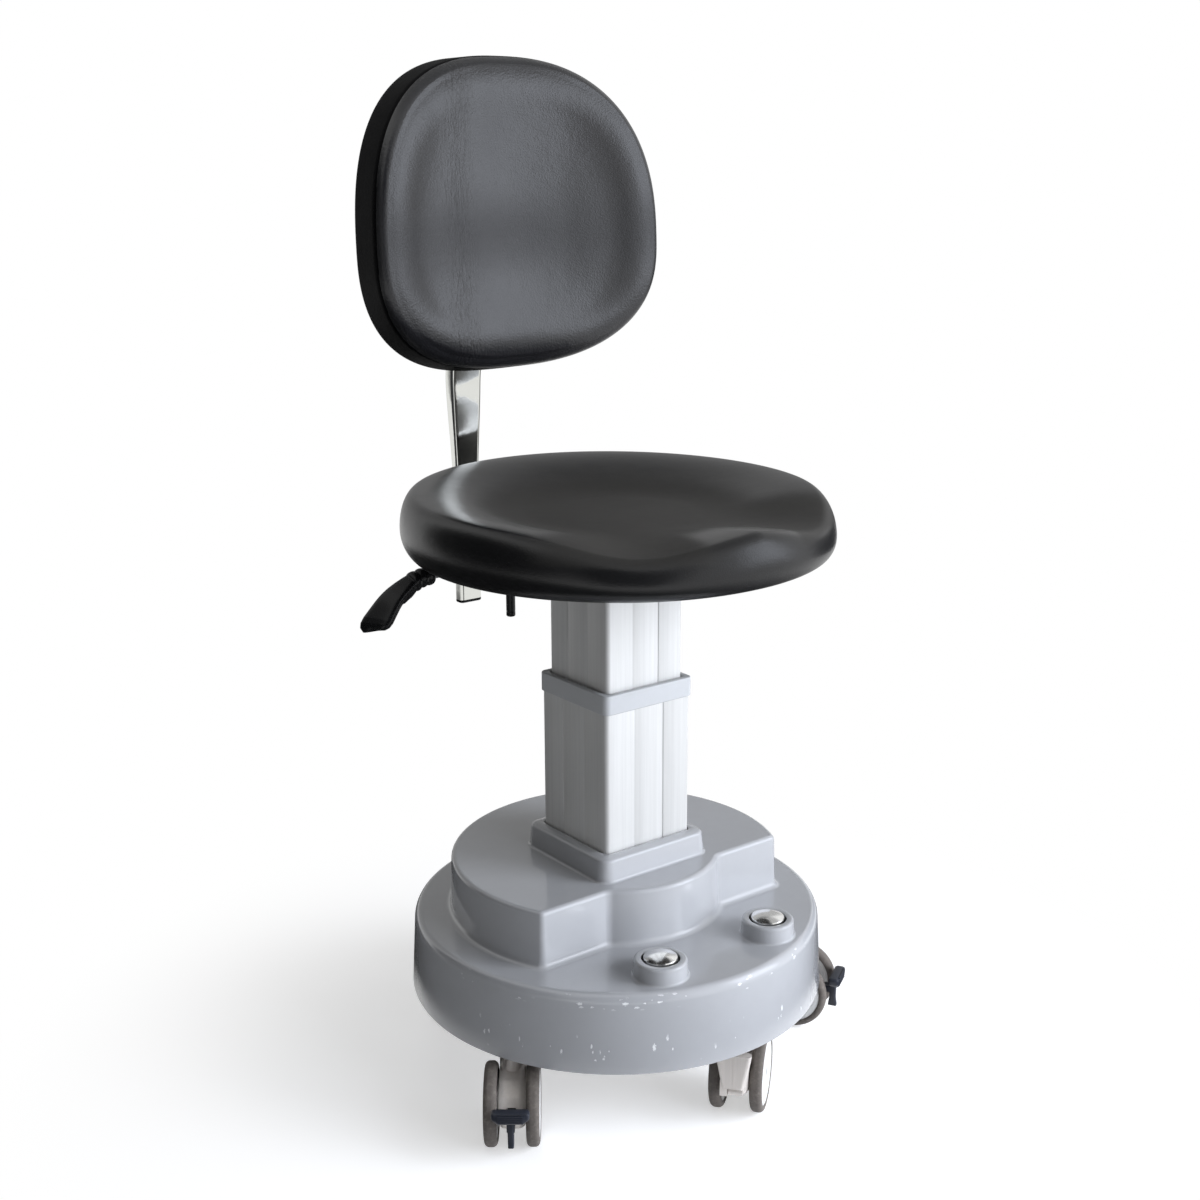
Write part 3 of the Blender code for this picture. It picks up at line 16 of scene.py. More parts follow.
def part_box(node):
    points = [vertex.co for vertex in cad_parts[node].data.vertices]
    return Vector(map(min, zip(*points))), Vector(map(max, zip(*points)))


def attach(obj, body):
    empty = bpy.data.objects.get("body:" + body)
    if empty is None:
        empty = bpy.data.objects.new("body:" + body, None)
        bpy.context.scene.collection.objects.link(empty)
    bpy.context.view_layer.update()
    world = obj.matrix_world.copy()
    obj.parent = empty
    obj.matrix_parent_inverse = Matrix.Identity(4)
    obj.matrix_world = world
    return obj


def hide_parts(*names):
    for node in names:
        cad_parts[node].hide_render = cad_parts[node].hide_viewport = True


bl_info = {
    "name": "Surgeon stool looks",
    "version": (1, 0, 0),
    "blender": (4, 5, 0),
    "location": "3D View > Sidebar > Stool",
    "description": "Modelled pieces and finishes of a surgeon stool, built round its packed part",
    "category": "Object",
}

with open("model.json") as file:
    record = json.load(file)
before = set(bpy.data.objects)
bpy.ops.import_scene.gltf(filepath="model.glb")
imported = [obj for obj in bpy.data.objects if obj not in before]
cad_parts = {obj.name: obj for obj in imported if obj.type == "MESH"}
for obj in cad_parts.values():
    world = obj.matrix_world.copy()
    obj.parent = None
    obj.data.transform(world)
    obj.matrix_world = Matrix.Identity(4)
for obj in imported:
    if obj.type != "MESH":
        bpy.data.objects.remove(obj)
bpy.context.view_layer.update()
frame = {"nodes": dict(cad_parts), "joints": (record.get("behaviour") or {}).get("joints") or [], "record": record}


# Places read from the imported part

def middle(node):
    """Middle of a node's box."""
    low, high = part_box(node)
    return (low + high) / 2.0


def size(node):
    """Width, depth and height of a node's box."""
    low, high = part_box(node)
    return high - low


def joint_place(name):
    """A point on a joint's axis."""
    for joint in frame["joints"]:
        if joint["name"] == name:
            return Vector(joint["pos_m"])
    raise KeyError(name)


AXIS = middle("lower_column")
RIM_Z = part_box("base_cover")[0].z
COVER_TOP_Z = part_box("base_cover")[1].z
SEAT_MIDDLE = middle("seat_cushion")
SEAT_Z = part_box("seat_cushion")[0].z
COLLAR_LOW, COLLAR_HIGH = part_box("column_collar")
POST_LOW, POST_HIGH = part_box("back_post")
BACK_LOW, BACK_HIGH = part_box("back_cushion")
CASTER_NUMBERS = (1, 2, 3, 4, 5)
CLEARANCE = 0.0003


# Sizes and colours that a user would change

def length(label, default, about):
    """A length property."""
    return bpy.props.FloatProperty(name=label, description=about, default=default, unit="LENGTH", precision=4)


def angle(label, default, about):
    """An angle property, given in degrees."""
    return bpy.props.FloatProperty(name=label, description=about, default=radians(default), subtype="ANGLE")


def share(label, default, about):
    """A share from 0 to 1."""
    return bpy.props.FloatProperty(name=label, description=about, default=default, subtype="FACTOR",
                                   min=0.0, max=1.0)


def amount(label, default, about):
    """A plain number."""
    return bpy.props.FloatProperty(name=label, description=about, default=default, precision=3)


def colour(label, default, about):
    """A linear colour."""
    return bpy.props.FloatVectorProperty(name=label, description=about, default=default, size=3,
                                         subtype="COLOR", min=0.0, max=1.0)


def direction(label, default, about):
    """A direction or a place."""
    return bpy.props.FloatVectorProperty(name=label, description=about, default=default, size=3,
                                         subtype="XYZ", precision=6)


class StoolCoverSizes(bpy.types.PropertyGroup):
    """Sizes of the base cover."""
    disc_height: length("Disc height", 0.075, "Height of the round tier")
    disc_draft: length("Disc draft", 0.0037, "How far the disc's wall leans in")
    disc_edge_reach: length("Disc edge reach", 0.0072, "Width of the disc's round top edge")
    disc_edge_drop: length("Disc edge drop", 0.010, "Height of the disc's round top edge")
    platform_radius: length("Platform radius", 0.161, "Radius of the raised tier")
    platform_height: length("Platform height", 0.0535, "Height of the raised tier")
    platform_front: length("Platform front", 0.0757, "Distance from the column's axis to the straight front")
    platform_corner: length("Platform corner", 0.0075, "Radius of the platform's upright corners")
    bulge_radius: length("Bulge radius", 0.101, "Radius of the round bulge at the front")
    bulge_blend: length("Bulge blend", 0.012, "Radius of the hollow corners beside the bulge")
    plinth_half: length("Plinth half width", 0.0635, "Half the width of the square plinth")
    plinth_corner: length("Plinth corner", 0.0125, "Radius of the plinth's upright corners")
    plinth_edge: length("Plinth edge", 0.0034, "Radius of the plinth's top edge")
    plinth_fillet: length("Plinth fillet", 0.0030, "Radius of the hollow corner at the plinth's foot")
    plinth_slope: length("Plinth slope", 0.0012, "How far the plinth's top falls to its edge")
    plinth_rim: length("Plinth rim", 0.0082, "Width of the plinth's top")
    top_edge: length("Top edge", 0.0045, "Radius of the tiers' top edges")
    foot_fillet: length("Foot fillet", 0.0060, "Radius of the hollow corners at the tiers' feet")
    wall_draft: length("Wall draft", 0.0015, "How far the tiers' walls lean in")
    wall: length("Wall", 0.003, "Thickness of the moulded shell")
    boss_radius: length("Boss radius", 0.0247, "Radius of a foot button's boss")
    boss_height: length("Boss height", 0.016, "Height of a foot button's boss")
    boss_fillet: length("Boss fillet", 0.0022, "Hollow corner at a boss's foot")
    button_gap: length("Button gap", 0.0019, "Dark gap round a button")


class StoolPadSizes(bpy.types.PropertyGroup):
    """Sizes of the seat and the backrest pad."""
    seat_underside: length("Seat underside radius", 0.178, "Radius of the seat's flat underside")
    seat_crest: length("Seat crest radius", 0.1845, "Radius of the rim's highest line")
    seat_rim: length("Seat rim height", 0.054, "Height of the rim at the front")
    seat_rear_rise: length("Seat rear rise", 0.009, "How much higher the rim is at the rear")
    seat_trough: length("Seat trough depth", 0.0170, "Depth of the hollow for each thigh")
    seat_trough_angle: angle("Seat trough angle", 32.0, "Angle of a thigh hollow from the front")
    seat_trough_spread: angle("Seat trough spread", 22.0, "Half width of a thigh hollow")
    seat_dish: length("Seat dish height", 0.037, "Height of the dish's floor")
    seat_dish_floor: share("Seat dish floor", 0.40, "Share of the radius that is the flat floor")
    seat_bulge: share("Seat bulge place", 0.47, "Height of the widest line as a share of the rim")
    back_half_width: length("Back half width", 0.1633, "Half the width of the backrest")
    back_upper: length("Back upper", 0.1726, "Backrest above its middle")
    back_lower: length("Back lower", 0.1147, "Backrest below its middle")
    back_thickness: length("Back thickness", 0.0615, "Depth of the pad")
    back_roundness: amount("Back roundness", 2.5, "Power of the backrest's outline")
    back_curve: length("Back curve radius", 0.489, "Radius of the bend round the sitter")
    back_lean: angle("Back lean", 1.9, "Lean of the backrest")
    back_side_draw: length("Back side draw", 0.0087, "How far the sides draw in towards the rear")
    back_undercut: length("Back undercut", 0.010, "How much lower the rear edge is than the front one")
    back_rear_edge: length("Back rear edge", 0.009, "Radius of the rear edge")
    back_front_edge: length("Back front edge", 0.018, "Depth of the front edge")
    back_crease_side: length("Back crease at the sides", 0.016, "Inset of the front crease at the sides")
    back_crease_end: length("Back crease at the ends", 0.012, "Inset of the front crease above and below")
    back_shoulder: length("Back shoulder", 0.0072, "How far the front swells inside its soft edge")
    back_shoulder_width: length("Back shoulder width", 0.032, "Width of that soft edge")
    back_dish: length("Back dish", 0.0058, "Depth of the front's dish")
    back_dish_width: length("Back dish width", 0.146, "Half the width of the dish")
    back_channel: length("Back channel", 0.0034, "Depth of the hollow beside each bolster")
    back_channel_place: share("Back channel place", 0.75, "Place of that hollow from the middle to the edge")
    back_channel_spread: share("Back channel spread", 0.17, "Width of that hollow as a share of the same way")
    back_lumbar: length("Back lumbar", 0.0065, "Height of the band at the small of the back")
    back_lumbar_drop: length("Back lumbar drop", 0.082, "Distance of that band below the middle")
    back_lumbar_spread: length("Back lumbar spread", 0.042, "Half width of that band")
    shell_share: share("Rear shell share", 0.94, "Size of the rear shell as a share of the pad's rear")


class StoolRigSizes(bpy.types.PropertyGroup):
    """Sizes of the column, the post, the lever and the casters."""
    column_corner: length("Column corner", 0.0045, "Radius of the column's corners")
    groove_place: share("Groove place", 0.17, "A groove's place from a face's middle, by the face's width")
    groove_width: length("Groove width", 0.0020, "Width of a groove")
    groove_depth: length("Groove depth", 0.0009, "Depth of the groove far from the front corner")
    faint_groove: length("Faint groove", 0.00025, "Depth of the groove near the front corner")
    column_wall: length("Column wall", 0.004, "Wall of the column's tubes")
    collar_lip: length("Collar lip", 0.004, "Height of the collar's lip")
    collar_mouth: length("Collar mouth", 0.0013, "Gap between the collar and the upper column")
    post_width: length("Post width", 0.027, "Width of the post at its foot")
    post_depth: length("Post depth", 0.013, "Depth of the post at its foot")
    post_top_width: length("Post top width", 0.036, "Width of the post behind the backrest")
    post_top_depth: length("Post top depth", 0.017, "Depth of the post behind the backrest")
    post_corner: length("Post corner", 0.0045, "Radius of the post's corners")
    post_straight: length("Post straight", 0.118, "Height where the post starts to widen")
    post_flare: length("Post flare", 0.130, "Length over which the post widens")
    post_bend_start: length("Post bend start", 0.110, "Height of the bend above the straight part")
    post_bend: length("Post bend", 0.110, "Length of the bend")
    grip_neck: length("Grip neck", 0.023, "Length of the lever's ribbed neck")
    grip_droop: angle("Grip droop", 26.0, "How far the lever hangs down beyond its neck")
    grip_hook: angle("Grip hook", 24.0, "How much further its paddle bends down")
    grip_skew: length("Grip skew", 0.010, "How much shorter the paddle is on its front side")
    grip_rib: length("Grip rib", 0.0014, "Height of the neck's ribs")
    grip_tab: length("Grip tab", 0.0040, "Depth of the finger tab under the paddle")
    wheel_crown: length("Wheel crown", 0.0046, "Round shoulder of a tyre")
    tread: length("Tread", 0.0065, "Thickness of a tyre")
    fork_edge: length("Fork edge", 0.0068, "Round edge of a fork's housing")
    neck_radius: length("Neck radius", 0.0082, "Radius of a fork's neck")
    screw_radius: length("Screw radius", 0.0046, "Radius of a bracket screw's head")
    screw_height: length("Screw height", 0.0026, "Height of a bracket screw's head")
    screw_inset: length("Screw inset", 0.0085, "Distance of a screw from the bracket's edge")
    ridge_count: bpy.props.IntProperty(name="Ridges", description="Ridges on a lock pedal", default=5, min=1)
    ridge_radius: length("Ridge radius", 0.0006, "Radius of a pedal's ridge")


class StoolColours(bpy.types.PropertyGroup):
    """Colours of the finishes."""
    cover: colour("Cover grey", (0.395, 0.402, 0.418), "Gloss grey of the base cover")
    chip: colour("Chip white", (0.78, 0.79, 0.80), "Bare plastic in chips and scratches")
    collar: colour("Collar grey", (0.43, 0.44, 0.45), "Matt grey of the column's collar")
    anodised: colour("Anodised", (0.62, 0.62, 0.61), "Satin aluminium of the column")
    chrome: colour("Chrome", (0.72, 0.725, 0.69), "Bright chrome of the post")
    polished: colour("Polished steel", (0.80, 0.80, 0.79), "Steel of the foot buttons")
    nickel: colour("Nickel", (0.72, 0.675, 0.635), "Warm satin nickel of the forks")
    steel: colour("Steel", (0.40, 0.40, 0.41), "Bare steel inside")
    black_steel: colour("Black steel", (0.022, 0.022, 0.024), "Powder-coated steel")
    black_plastic: colour("Black plastic", (0.006, 0.006, 0.0065), "Gloss black mouldings")
    pedal: colour("Pedal", (0.017, 0.020, 0.030), "Navy-black lock pedals")
    glide: colour("Glide", (0.62, 0.61, 0.57), "Pale glide plastic")
    tyre: colour("Tyre", (0.135, 0.120, 0.108), "Taupe tyre rubber")
    wheel_cover: colour("Wheel cover", (0.74, 0.74, 0.73), "Pale wheel covers")
    plywood: colour("Plywood", (0.045, 0.038, 0.032), "Black-stained plywood of the seat board")
    seat_vinyl: colour("Seat skin", (0.0060, 0.0060, 0.0064), "Black skin of the seat")
    seat_worn: colour("Worn seat", (0.0130, 0.0122, 0.0108), "Browner skin where the seat is sat on")
    back_vinyl: colour("Back skin", (0.0065, 0.0066, 0.0080), "Black skin of the backrest")
    floor: colour("Floor", (0.80, 0.80, 0.80), "Pale floor")


class StoolStage(bpy.types.PropertyGroup):
    """Camera and lights."""
    camera_from: direction("Camera place", (-0.908155, -1.164440, 0.856462), "Place, from the column's foot")
    camera_ahead: direction("Camera ahead", (0.58646566, 0.76740381, -0.25913205), "Where the camera looks")
    camera_up: direction("Camera up", (0.16063289, 0.20337764, 0.96583364), "Upright of the picture")
    lens: bpy.props.FloatProperty(name="Lens", description="Focal length in mm on 36 mm", default=49.1726)
    ambient: amount("Ambient", 0.21, "Light of the surroundings on the stool")
    key: amount("Key light", 64.0, "Power of the soft light at the front right")
    fill: amount("Fill light", 61.0, "Power of the broad light at the front")
    top: amount("Top light", 7.0, "Power of the soft light overhead")
    sheen: share("Sheen", 0.42, "Brightness of the key light in reflections, as a share of the lamp's own")
    key_tint: colour("Key tint", (0.88, 0.92, 1.0), "Cool colour of the lights at the front")
    flag: colour("Flag", (0.05, 0.05, 0.05), "Dark cards that shade the reflections")


# Outlines: rows of x, y and the outward normal

ARC_STEPS = 10
ROUND_STEPS = 8
LARGE_STEPS = 180
SMALL_STEPS = 72


def arc(centre, radius, start, end, steps, facing=1.0):
    """An arc; facing is -1 where it is hollow."""
    turn = np.linspace(start, end, steps + 1)
    out = np.stack([np.cos(turn), np.sin(turn)], 1)
    return np.hstack([np.array(centre) + radius * out, facing * out])


def circle(centre, radius, steps):
    """A closed circle."""
    return arc(centre, radius, 0.0, tau, steps)[:-1]


def rounded_rectangle(width, depth, corner, steps=ARC_STEPS):
    """A rectangle about the origin with round corners."""
    rows = []
    for quarter, (side_x, side_y) in enumerate(((1, 1), (-1, 1), (-1, -1), (1, -1))):
        start = quarter * pi / 2.0
        centre = (side_x * (width / 2.0 - corner), side_y * (depth / 2.0 - corner))
        rows.append(arc(centre, corner, start, start + pi / 2.0, steps))
    return np.vstack(rows)


def platform_outline(cover):
    """The raised tier with its front bulge, convex corners and hollow corners rounded."""
    corner = cover.platform_corner
    blend = cover.bulge_blend
    corner_y = corner - cover.platform_front
    corner_x = sqrt((cover.platform_radius - corner) ** 2 - corner_y ** 2)
    blend_y = -blend - cover.platform_front
    blend_x = sqrt((cover.bulge_radius + blend) ** 2 - blend_y ** 2)
    start = atan2(corner_y, corner_x)
    meet = atan2(-blend_y, blend_x)
    return np.vstack([
        arc((0.0, 0.0), cover.platform_radius, start, pi - start, LARGE_STEPS),
        arc((-corner_x, corner_y), corner, pi - start, 1.5 * pi, ARC_STEPS),
        arc((-blend_x, blend_y), blend, pi / 2.0, meet, ARC_STEPS, -1.0),
        arc((0.0, 0.0), cover.bulge_radius, pi + meet, tau - meet, SMALL_STEPS),
        arc((blend_x, blend_y), blend, pi - meet, pi / 2.0, ARC_STEPS, -1.0),
        arc((corner_x, corner_y), corner, -pi / 2.0, start, ARC_STEPS),
    ])


def ring(outline, offset, height):
    """An outline moved out along its normals, at a height."""
    flat = outline[:, :2] + offset * outline[:, 2:]
    return np.column_stack([flat, np.full(len(flat), height)])


def quarter(centre, reach, rise, start, end, steps=ROUND_STEPS):
    """Points of a quarter ellipse as (offset, height) pairs."""
    turn = np.linspace(start, end, steps + 1)
    return [(centre[0] + reach * np.cos(t), centre[1] + rise * np.sin(t)) for t in turn]


# Meshes

class Skin:
    """Points and faces of a mesh as it grows."""

    def __init__(self):
        self.points = []
        self.faces = []

    def ring(self, points):
        """Add a ring of points and return their numbers."""
        first = len(self.points)
        self.points.extend(tuple(float(value) for value in point) for point in points)
        return list(range(first, len(self.points)))

    def band(self, low, high):
        """Join two rings of equally many points."""
        count = len(low)
        for step in range(count):
            after = (step + 1) % count
            self.faces.append((low[step], low[after], high[after], high[step]))

    def tube(self, rings, closed=False):
        """Join rings in order, and the last to the first where it is closed."""
        numbers = [self.ring(points) for points in rings]
        for low, high in zip(numbers, numbers[1:]):
            self.band(low, high)
        if closed:
            self.band(numbers[-1], numbers[0])
        return numbers

    def solid(self, rings):
        """A tube with a flat or fanned end at each side."""
        numbers = self.tube(rings)
        self.faces.append(tuple(numbers[0]))
        self.faces.append(tuple(numbers[-1]))

    def fill(self, loops):
        """Close the flat space between loops that lie at one height."""
        shape = bmesh.new()
        edges = []
        for loop in loops:
            corners = [shape.verts.new(self.points[number]) for number in loop]
            for step, corner in enumerate(corners):
                edges.append(shape.edges.new((corner, corners[(step + 1) % len(corners)])))
        numbers = [number for loop in loops for number in loop]
        shape.verts.index_update()
        bmesh.ops.triangle_fill(shape, edges=edges, use_beauty=True, use_dissolve=False)
        for face in shape.faces:
            self.faces.append(tuple(numbers[corner.index] for corner in face.verts))
        shape.free()

    def piece(self, name, material, smooth=40.0, place=None):
        """The finished object, with its faces turned outwards."""
        mesh = bpy.data.meshes.new(name)
        mesh.from_pydata(self.points, [], self.faces)
        shape = bmesh.new()
        shape.from_mesh(mesh)
        bmesh.ops.remove_doubles(shape, verts=shape.verts, dist=1e-6)
        bmesh.ops.recalc_face_normals(shape, faces=shape.faces)
        shape.to_mesh(mesh)
        shape.free()
        if place is not None:
            mesh.transform(place)
        mesh.shade_smooth()
        mesh.set_sharp_from_angle(angle=radians(smooth))
        mesh.materials.append(material)
        made = bpy.data.objects.new(name, mesh)
        bpy.context.scene.collection.objects.link(made)
        return made


def solid_skin(rings):
    """A Skin of one closed solid from its rings."""
    skin = Skin()
    skin.solid(rings)
    return skin


def freeze(piece, smooth=40.0):
    """Turn a piece's modifiers into plain mesh."""
    bpy.context.view_layer.update()
    graph = bpy.context.evaluated_depsgraph_get()
    mesh = bpy.data.meshes.new_from_object(piece.evaluated_get(graph))
    piece.modifiers.clear()
    piece.data = mesh
    mesh.name = piece.name
    mesh.shade_smooth()
    mesh.set_sharp_from_angle(angle=radians(smooth))
    return piece


def combine(piece, tool, operation, smooth=40.0):
    """Fuse a tool with a piece, or cut it out, and remove the tool."""
    modifier = piece.modifiers.new("combine", "BOOLEAN")
    modifier.operation = operation
    modifier.solver = "MANIFOLD"
    modifier.object = tool
    freeze(piece, smooth)
    bpy.data.objects.remove(tool, do_unlink=True)
    return piece


def turned(profile, steps):
    """A Skin turned about Z from (radius, height) points; it ends on the axis or closes on itself."""
    skin = Skin()
    on_axis = profile[0][0] == 0.0
    rings = [ring(circle((0.0, 0.0), radius, steps), 0.0, height)
             for radius, height in profile if radius > 0.0]
    if on_axis:
        skin.solid(rings)
    else:
        skin.tube(rings, closed=True)
    return skin


def wear(piece, body, slot, *nodes):
    """Hang a piece on its body and let it stand for its nodes; the slot is not used."""
    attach(piece, body)
    if nodes:
        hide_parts(*nodes)
    return piece


def about(place):
    """Matrix of a move."""
    return Matrix.Translation(place)


def smooth_step(value):
    """A rise from 0 to 1 with level ends."""
    share_up = np.clip(value, 0.0, 1.0)
    return share_up * share_up * (3.0 - 2.0 * share_up)


# Node trees

class Graph:
    """Short calls for building a node tree."""

    def __init__(self, tree):
        self.tree = tree

    def node(self, kind, inputs=None, **choices):
        """A node with its choices and inputs set; an input may be a value or another node's output."""
        made = self.tree.nodes.new(kind)
        for name, value in choices.items():
            setattr(made, name, value)
        for name, value in (inputs or {}).items():
            if isinstance(value, bpy.types.NodeSocket):
                self.tree.links.new(value, made.inputs[name])
            else:
                made.inputs[name].default_value = value
        return made

    def maths(self, operation, first, second=0.0):
        """One sum."""
        return self.node("ShaderNodeMath", {0: first, 1: second}, operation=operation).outputs[0]

    def noise(self, vector, scale, detail=3.0, rough=0.5, twist=0.0):
        """Noise from 0 to 1."""
        inputs = {"Vector": vector, "Scale": scale, "Detail": detail, "Roughness": rough, "Distortion": twist}
        return self.node("ShaderNodeTexNoise", inputs).outputs["Fac"]

    def stretch(self, vector, factors):
        """A vector scaled along each axis."""
        made = self.node("ShaderNodeVectorMath", {0: vector, 1: factors}, operation="MULTIPLY")
        return made.outputs[0]

    def distance(self, vector, place):
        """Distance from a place."""
        made = self.node("ShaderNodeVectorMath", {0: vector, 1: place}, operation="DISTANCE")
        return made.outputs["Value"]

    def span(self, value, low, high, to_low=0.0, to_high=1.0):
        """A value moved from one range to another, held at the ends."""
        inputs = {"Value": value, "From Min": low, "From Max": high, "To Min": to_low, "To Max": to_high}
        return self.node("ShaderNodeMapRange", inputs, interpolation_type="SMOOTHSTEP").outputs["Result"]

    def mix(self, factor, first, second):
        """A colour between two."""
        ends = [end if isinstance(end, bpy.types.NodeSocket) else (*end, 1.0) for end in (first, second)]
        made = self.node("ShaderNodeMix", {0: factor, 6: ends[0], 7: ends[1]}, data_type="RGBA")
        return made.outputs[2]

    def group(self, tree, inputs):
        """A node group with its inputs set."""
        return self.node("ShaderNodeGroup", inputs, node_tree=tree).outputs


def shader_group(name, inputs, outputs):
    """An empty shader group with sockets, its graph, and its two end nodes."""
    tree = bpy.data.node_groups.new(name, "ShaderNodeTree")
    for label, kind, default in inputs:
        socket = tree.interface.new_socket(label, in_out="INPUT", socket_type=kind)
        if default is not None:
            socket.default_value = default
    for label, kind in outputs:
        tree.interface.new_socket(label, in_out="OUTPUT", socket_type=kind)
    graph = Graph(tree)
    return tree, graph, tree.nodes.new("NodeGroupInput"), tree.nodes.new("NodeGroupOutput")


def once(name, build):
    """A node group by name, built when it is first asked for."""
    return bpy.data.node_groups.get(name) or build(name)


def build_handling(name):
    """Soft smudges of handling: a tone about 1 and a roughness between two values."""
    tree, graph, start, end = shader_group(
        name,
        [("Vector", "NodeSocketVector", None), ("Scale", "NodeSocketFloat", 12.0),
         ("Low", "NodeSocketFloat", 0.3), ("High", "NodeSocketFloat", 0.4)],
        [("Tone", "NodeSocketFloat"), ("Roughness", "NodeSocketFloat")])
    broad = graph.noise(start.outputs["Vector"], start.outputs["Scale"], 5.0, 0.55)
    finer = graph.maths("MULTIPLY", start.outputs["Scale"], 9.0)
    fine = graph.noise(start.outputs["Vector"], finer, 3.0, 0.6)
    both = graph.maths("ADD", graph.maths("MULTIPLY", broad, 0.7), graph.maths("MULTIPLY", fine, 0.3))
    tree.links.new(graph.span(both, 0.3, 0.7), end.inputs["Tone"])
    ends = {"To Min": start.outputs["Low"], "To Max": start.outputs["High"]}
    spread = graph.node("ShaderNodeMapRange", {"Value": both, "From Min": 0.3, "From Max": 0.7, **ends})
    tree.links.new(spread.outputs["Result"], end.inputs["Roughness"])
    return tree


def build_leather(name):
    """Fine skin grain: pores and pebbles as a height."""
    tree, graph, start, end = shader_group(
        name,
        [("Vector", "NodeSocketVector", None), ("Scale", "NodeSocketFloat", 700.0)],
        [("Height", "NodeSocketFloat")])
    pebbles = graph.node("ShaderNodeTexVoronoi", {"Vector": start.outputs["Vector"],
                                                  "Scale": start.outputs["Scale"]}, feature="SMOOTH_F1")
    pores = graph.noise(start.outputs["Vector"], graph.maths("MULTIPLY", start.outputs["Scale"], 2.3), 2.0)
    height = graph.maths("ADD", graph.maths("MULTIPLY", pebbles.outputs["Distance"], 0.7),
                         graph.maths("MULTIPLY", pores, 0.3))
    tree.links.new(height, end.inputs["Height"])
    return tree


def build_streaks(name):
    """Fine lines drawn along Z, from 0 to 1, as on an extrusion or brushed metal."""
    tree, graph, start, end = shader_group(
        name,
        [("Vector", "NodeSocketVector", None), ("Fineness", "NodeSocketFloat", 260.0)],
        [("Line", "NodeSocketFloat")])
    drawn = graph.stretch(start.outputs["Vector"], (1.0, 1.0, 0.012))
    coarse = graph.noise(drawn, start.outputs["Fineness"], 3.0, 0.6)
    fine = graph.noise(drawn, graph.maths("MULTIPLY", start.outputs["Fineness"], 5.0), 2.0, 0.6)
    both = graph.maths("ADD", graph.maths("MULTIPLY", coarse, 0.65), graph.maths("MULTIPLY", fine, 0.35))
    tree.links.new(both, end.inputs["Line"])
    return tree


def handling(graph, vector, scale, low, high):
    """Tone and roughness of the handling group."""
    inputs = {"Vector": vector, "Scale": scale, "Low": low, "High": high}
    return graph.group(once("handling", build_handling), inputs)


def leather(graph, vector, scale):
    """Height of the leather group."""
    return graph.group(once("leather", build_leather), {"Vector": vector, "Scale": scale})["Height"]


def streaks(graph, vector, fineness):
    """Lines of the streaks group."""
    return graph.group(once("streaks", build_streaks), {"Vector": vector, "Fineness": fineness})["Line"]


# Finishes

def shade(tone, base):
    """A colour scaled by a factor."""
    return tuple(tone * value for value in base)


class Finish:
    """A material under way: its graph, its shader and its Object coordinates."""

    def __init__(self, name, metallic=0.0, specular=0.5, coat=0.0, coat_roughness=0.1):
        self.material = bpy.data.materials.new(name)
        self.material.use_nodes = True
        self.graph = Graph(self.material.node_tree)
        self.shader = self.material.node_tree.nodes["Principled BSDF"]
        self.shader.inputs["Metallic"].default_value = metallic
        self.shader.inputs["Specular IOR Level"].default_value = specular
        self.shader.inputs["Coat Weight"].default_value = coat
        self.shader.inputs["Coat Roughness"].default_value = coat_roughness
        self.vector = self.graph.node("ShaderNodeTexCoord").outputs["Object"]

    def set(self, name, output):
        """Link an output to one of the shader's sockets."""
        self.material.node_tree.links.new(output, self.shader.inputs[name])

    def bump(self, height, depth, strength=1.0, below=None):
        """Relief from a height, over an earlier relief where one is given."""
        inputs = {"Height": height, "Distance": depth, "Strength": strength}
        if below is not None:
            inputs["Normal"] = below
        normal = self.graph.node("ShaderNodeBump", inputs).outputs["Normal"]
        self.set("Normal", normal)
        return normal

    def mottle(self, base, spread, scale, low, high):
        """Colour and roughness that vary softly over the surface."""
        marks = handling(self.graph, self.vector, scale, low, high)
        tones = (shade(1.0 - spread, base), shade(1.0 + spread, base))
        self.set("Base Color", self.graph.mix(marks["Tone"], *tones))
        self.set("Roughness", marks["Roughness"])
        return marks


def chips(graph, vector, scale, reach, kept):
    """Scattered chips of many sizes: 1 inside a chip and 0 elsewhere."""
    ragged = graph.noise(vector, 5.0 * scale, 2.0, 0.6)
    cells = graph.node("ShaderNodeTexVoronoi", {"Vector": vector, "Scale": scale}).outputs
    chance = graph.node("ShaderNodeSeparateColor", {"Color": cells["Color"]}).outputs
    radius = graph.maths("MULTIPLY", chance["Green"], graph.maths("MULTIPLY", ragged, 2.0 * reach))
    inside = graph.span(graph.maths("SUBTRACT", radius, cells["Distance"]), 0.0, 0.05)
    return graph.maths("MULTIPLY", inside, graph.maths("LESS_THAN", chance["Red"], kept))


def held(graph, value, start, full, still, end):
    """A mask that rises from start to full, holds, and falls from still to end."""
    return graph.maths("MULTIPLY", graph.span(value, start, full), graph.span(value, end, still))


CHIP_LEAN = 1.8
CHIP_FRONT = (-0.26, -0.36)
CHIP_EDGE_DROPS = (0.015, 0.010, 0.004, 0.001)
CHIP_WALL_RISES = (0.006, 0.014)
CHIP_WALL_DROPS = (0.046, 0.036)
CHIP_CLUSTERS = (0.40, 0.46)
CHIP_ROUGHNESS = 0.35


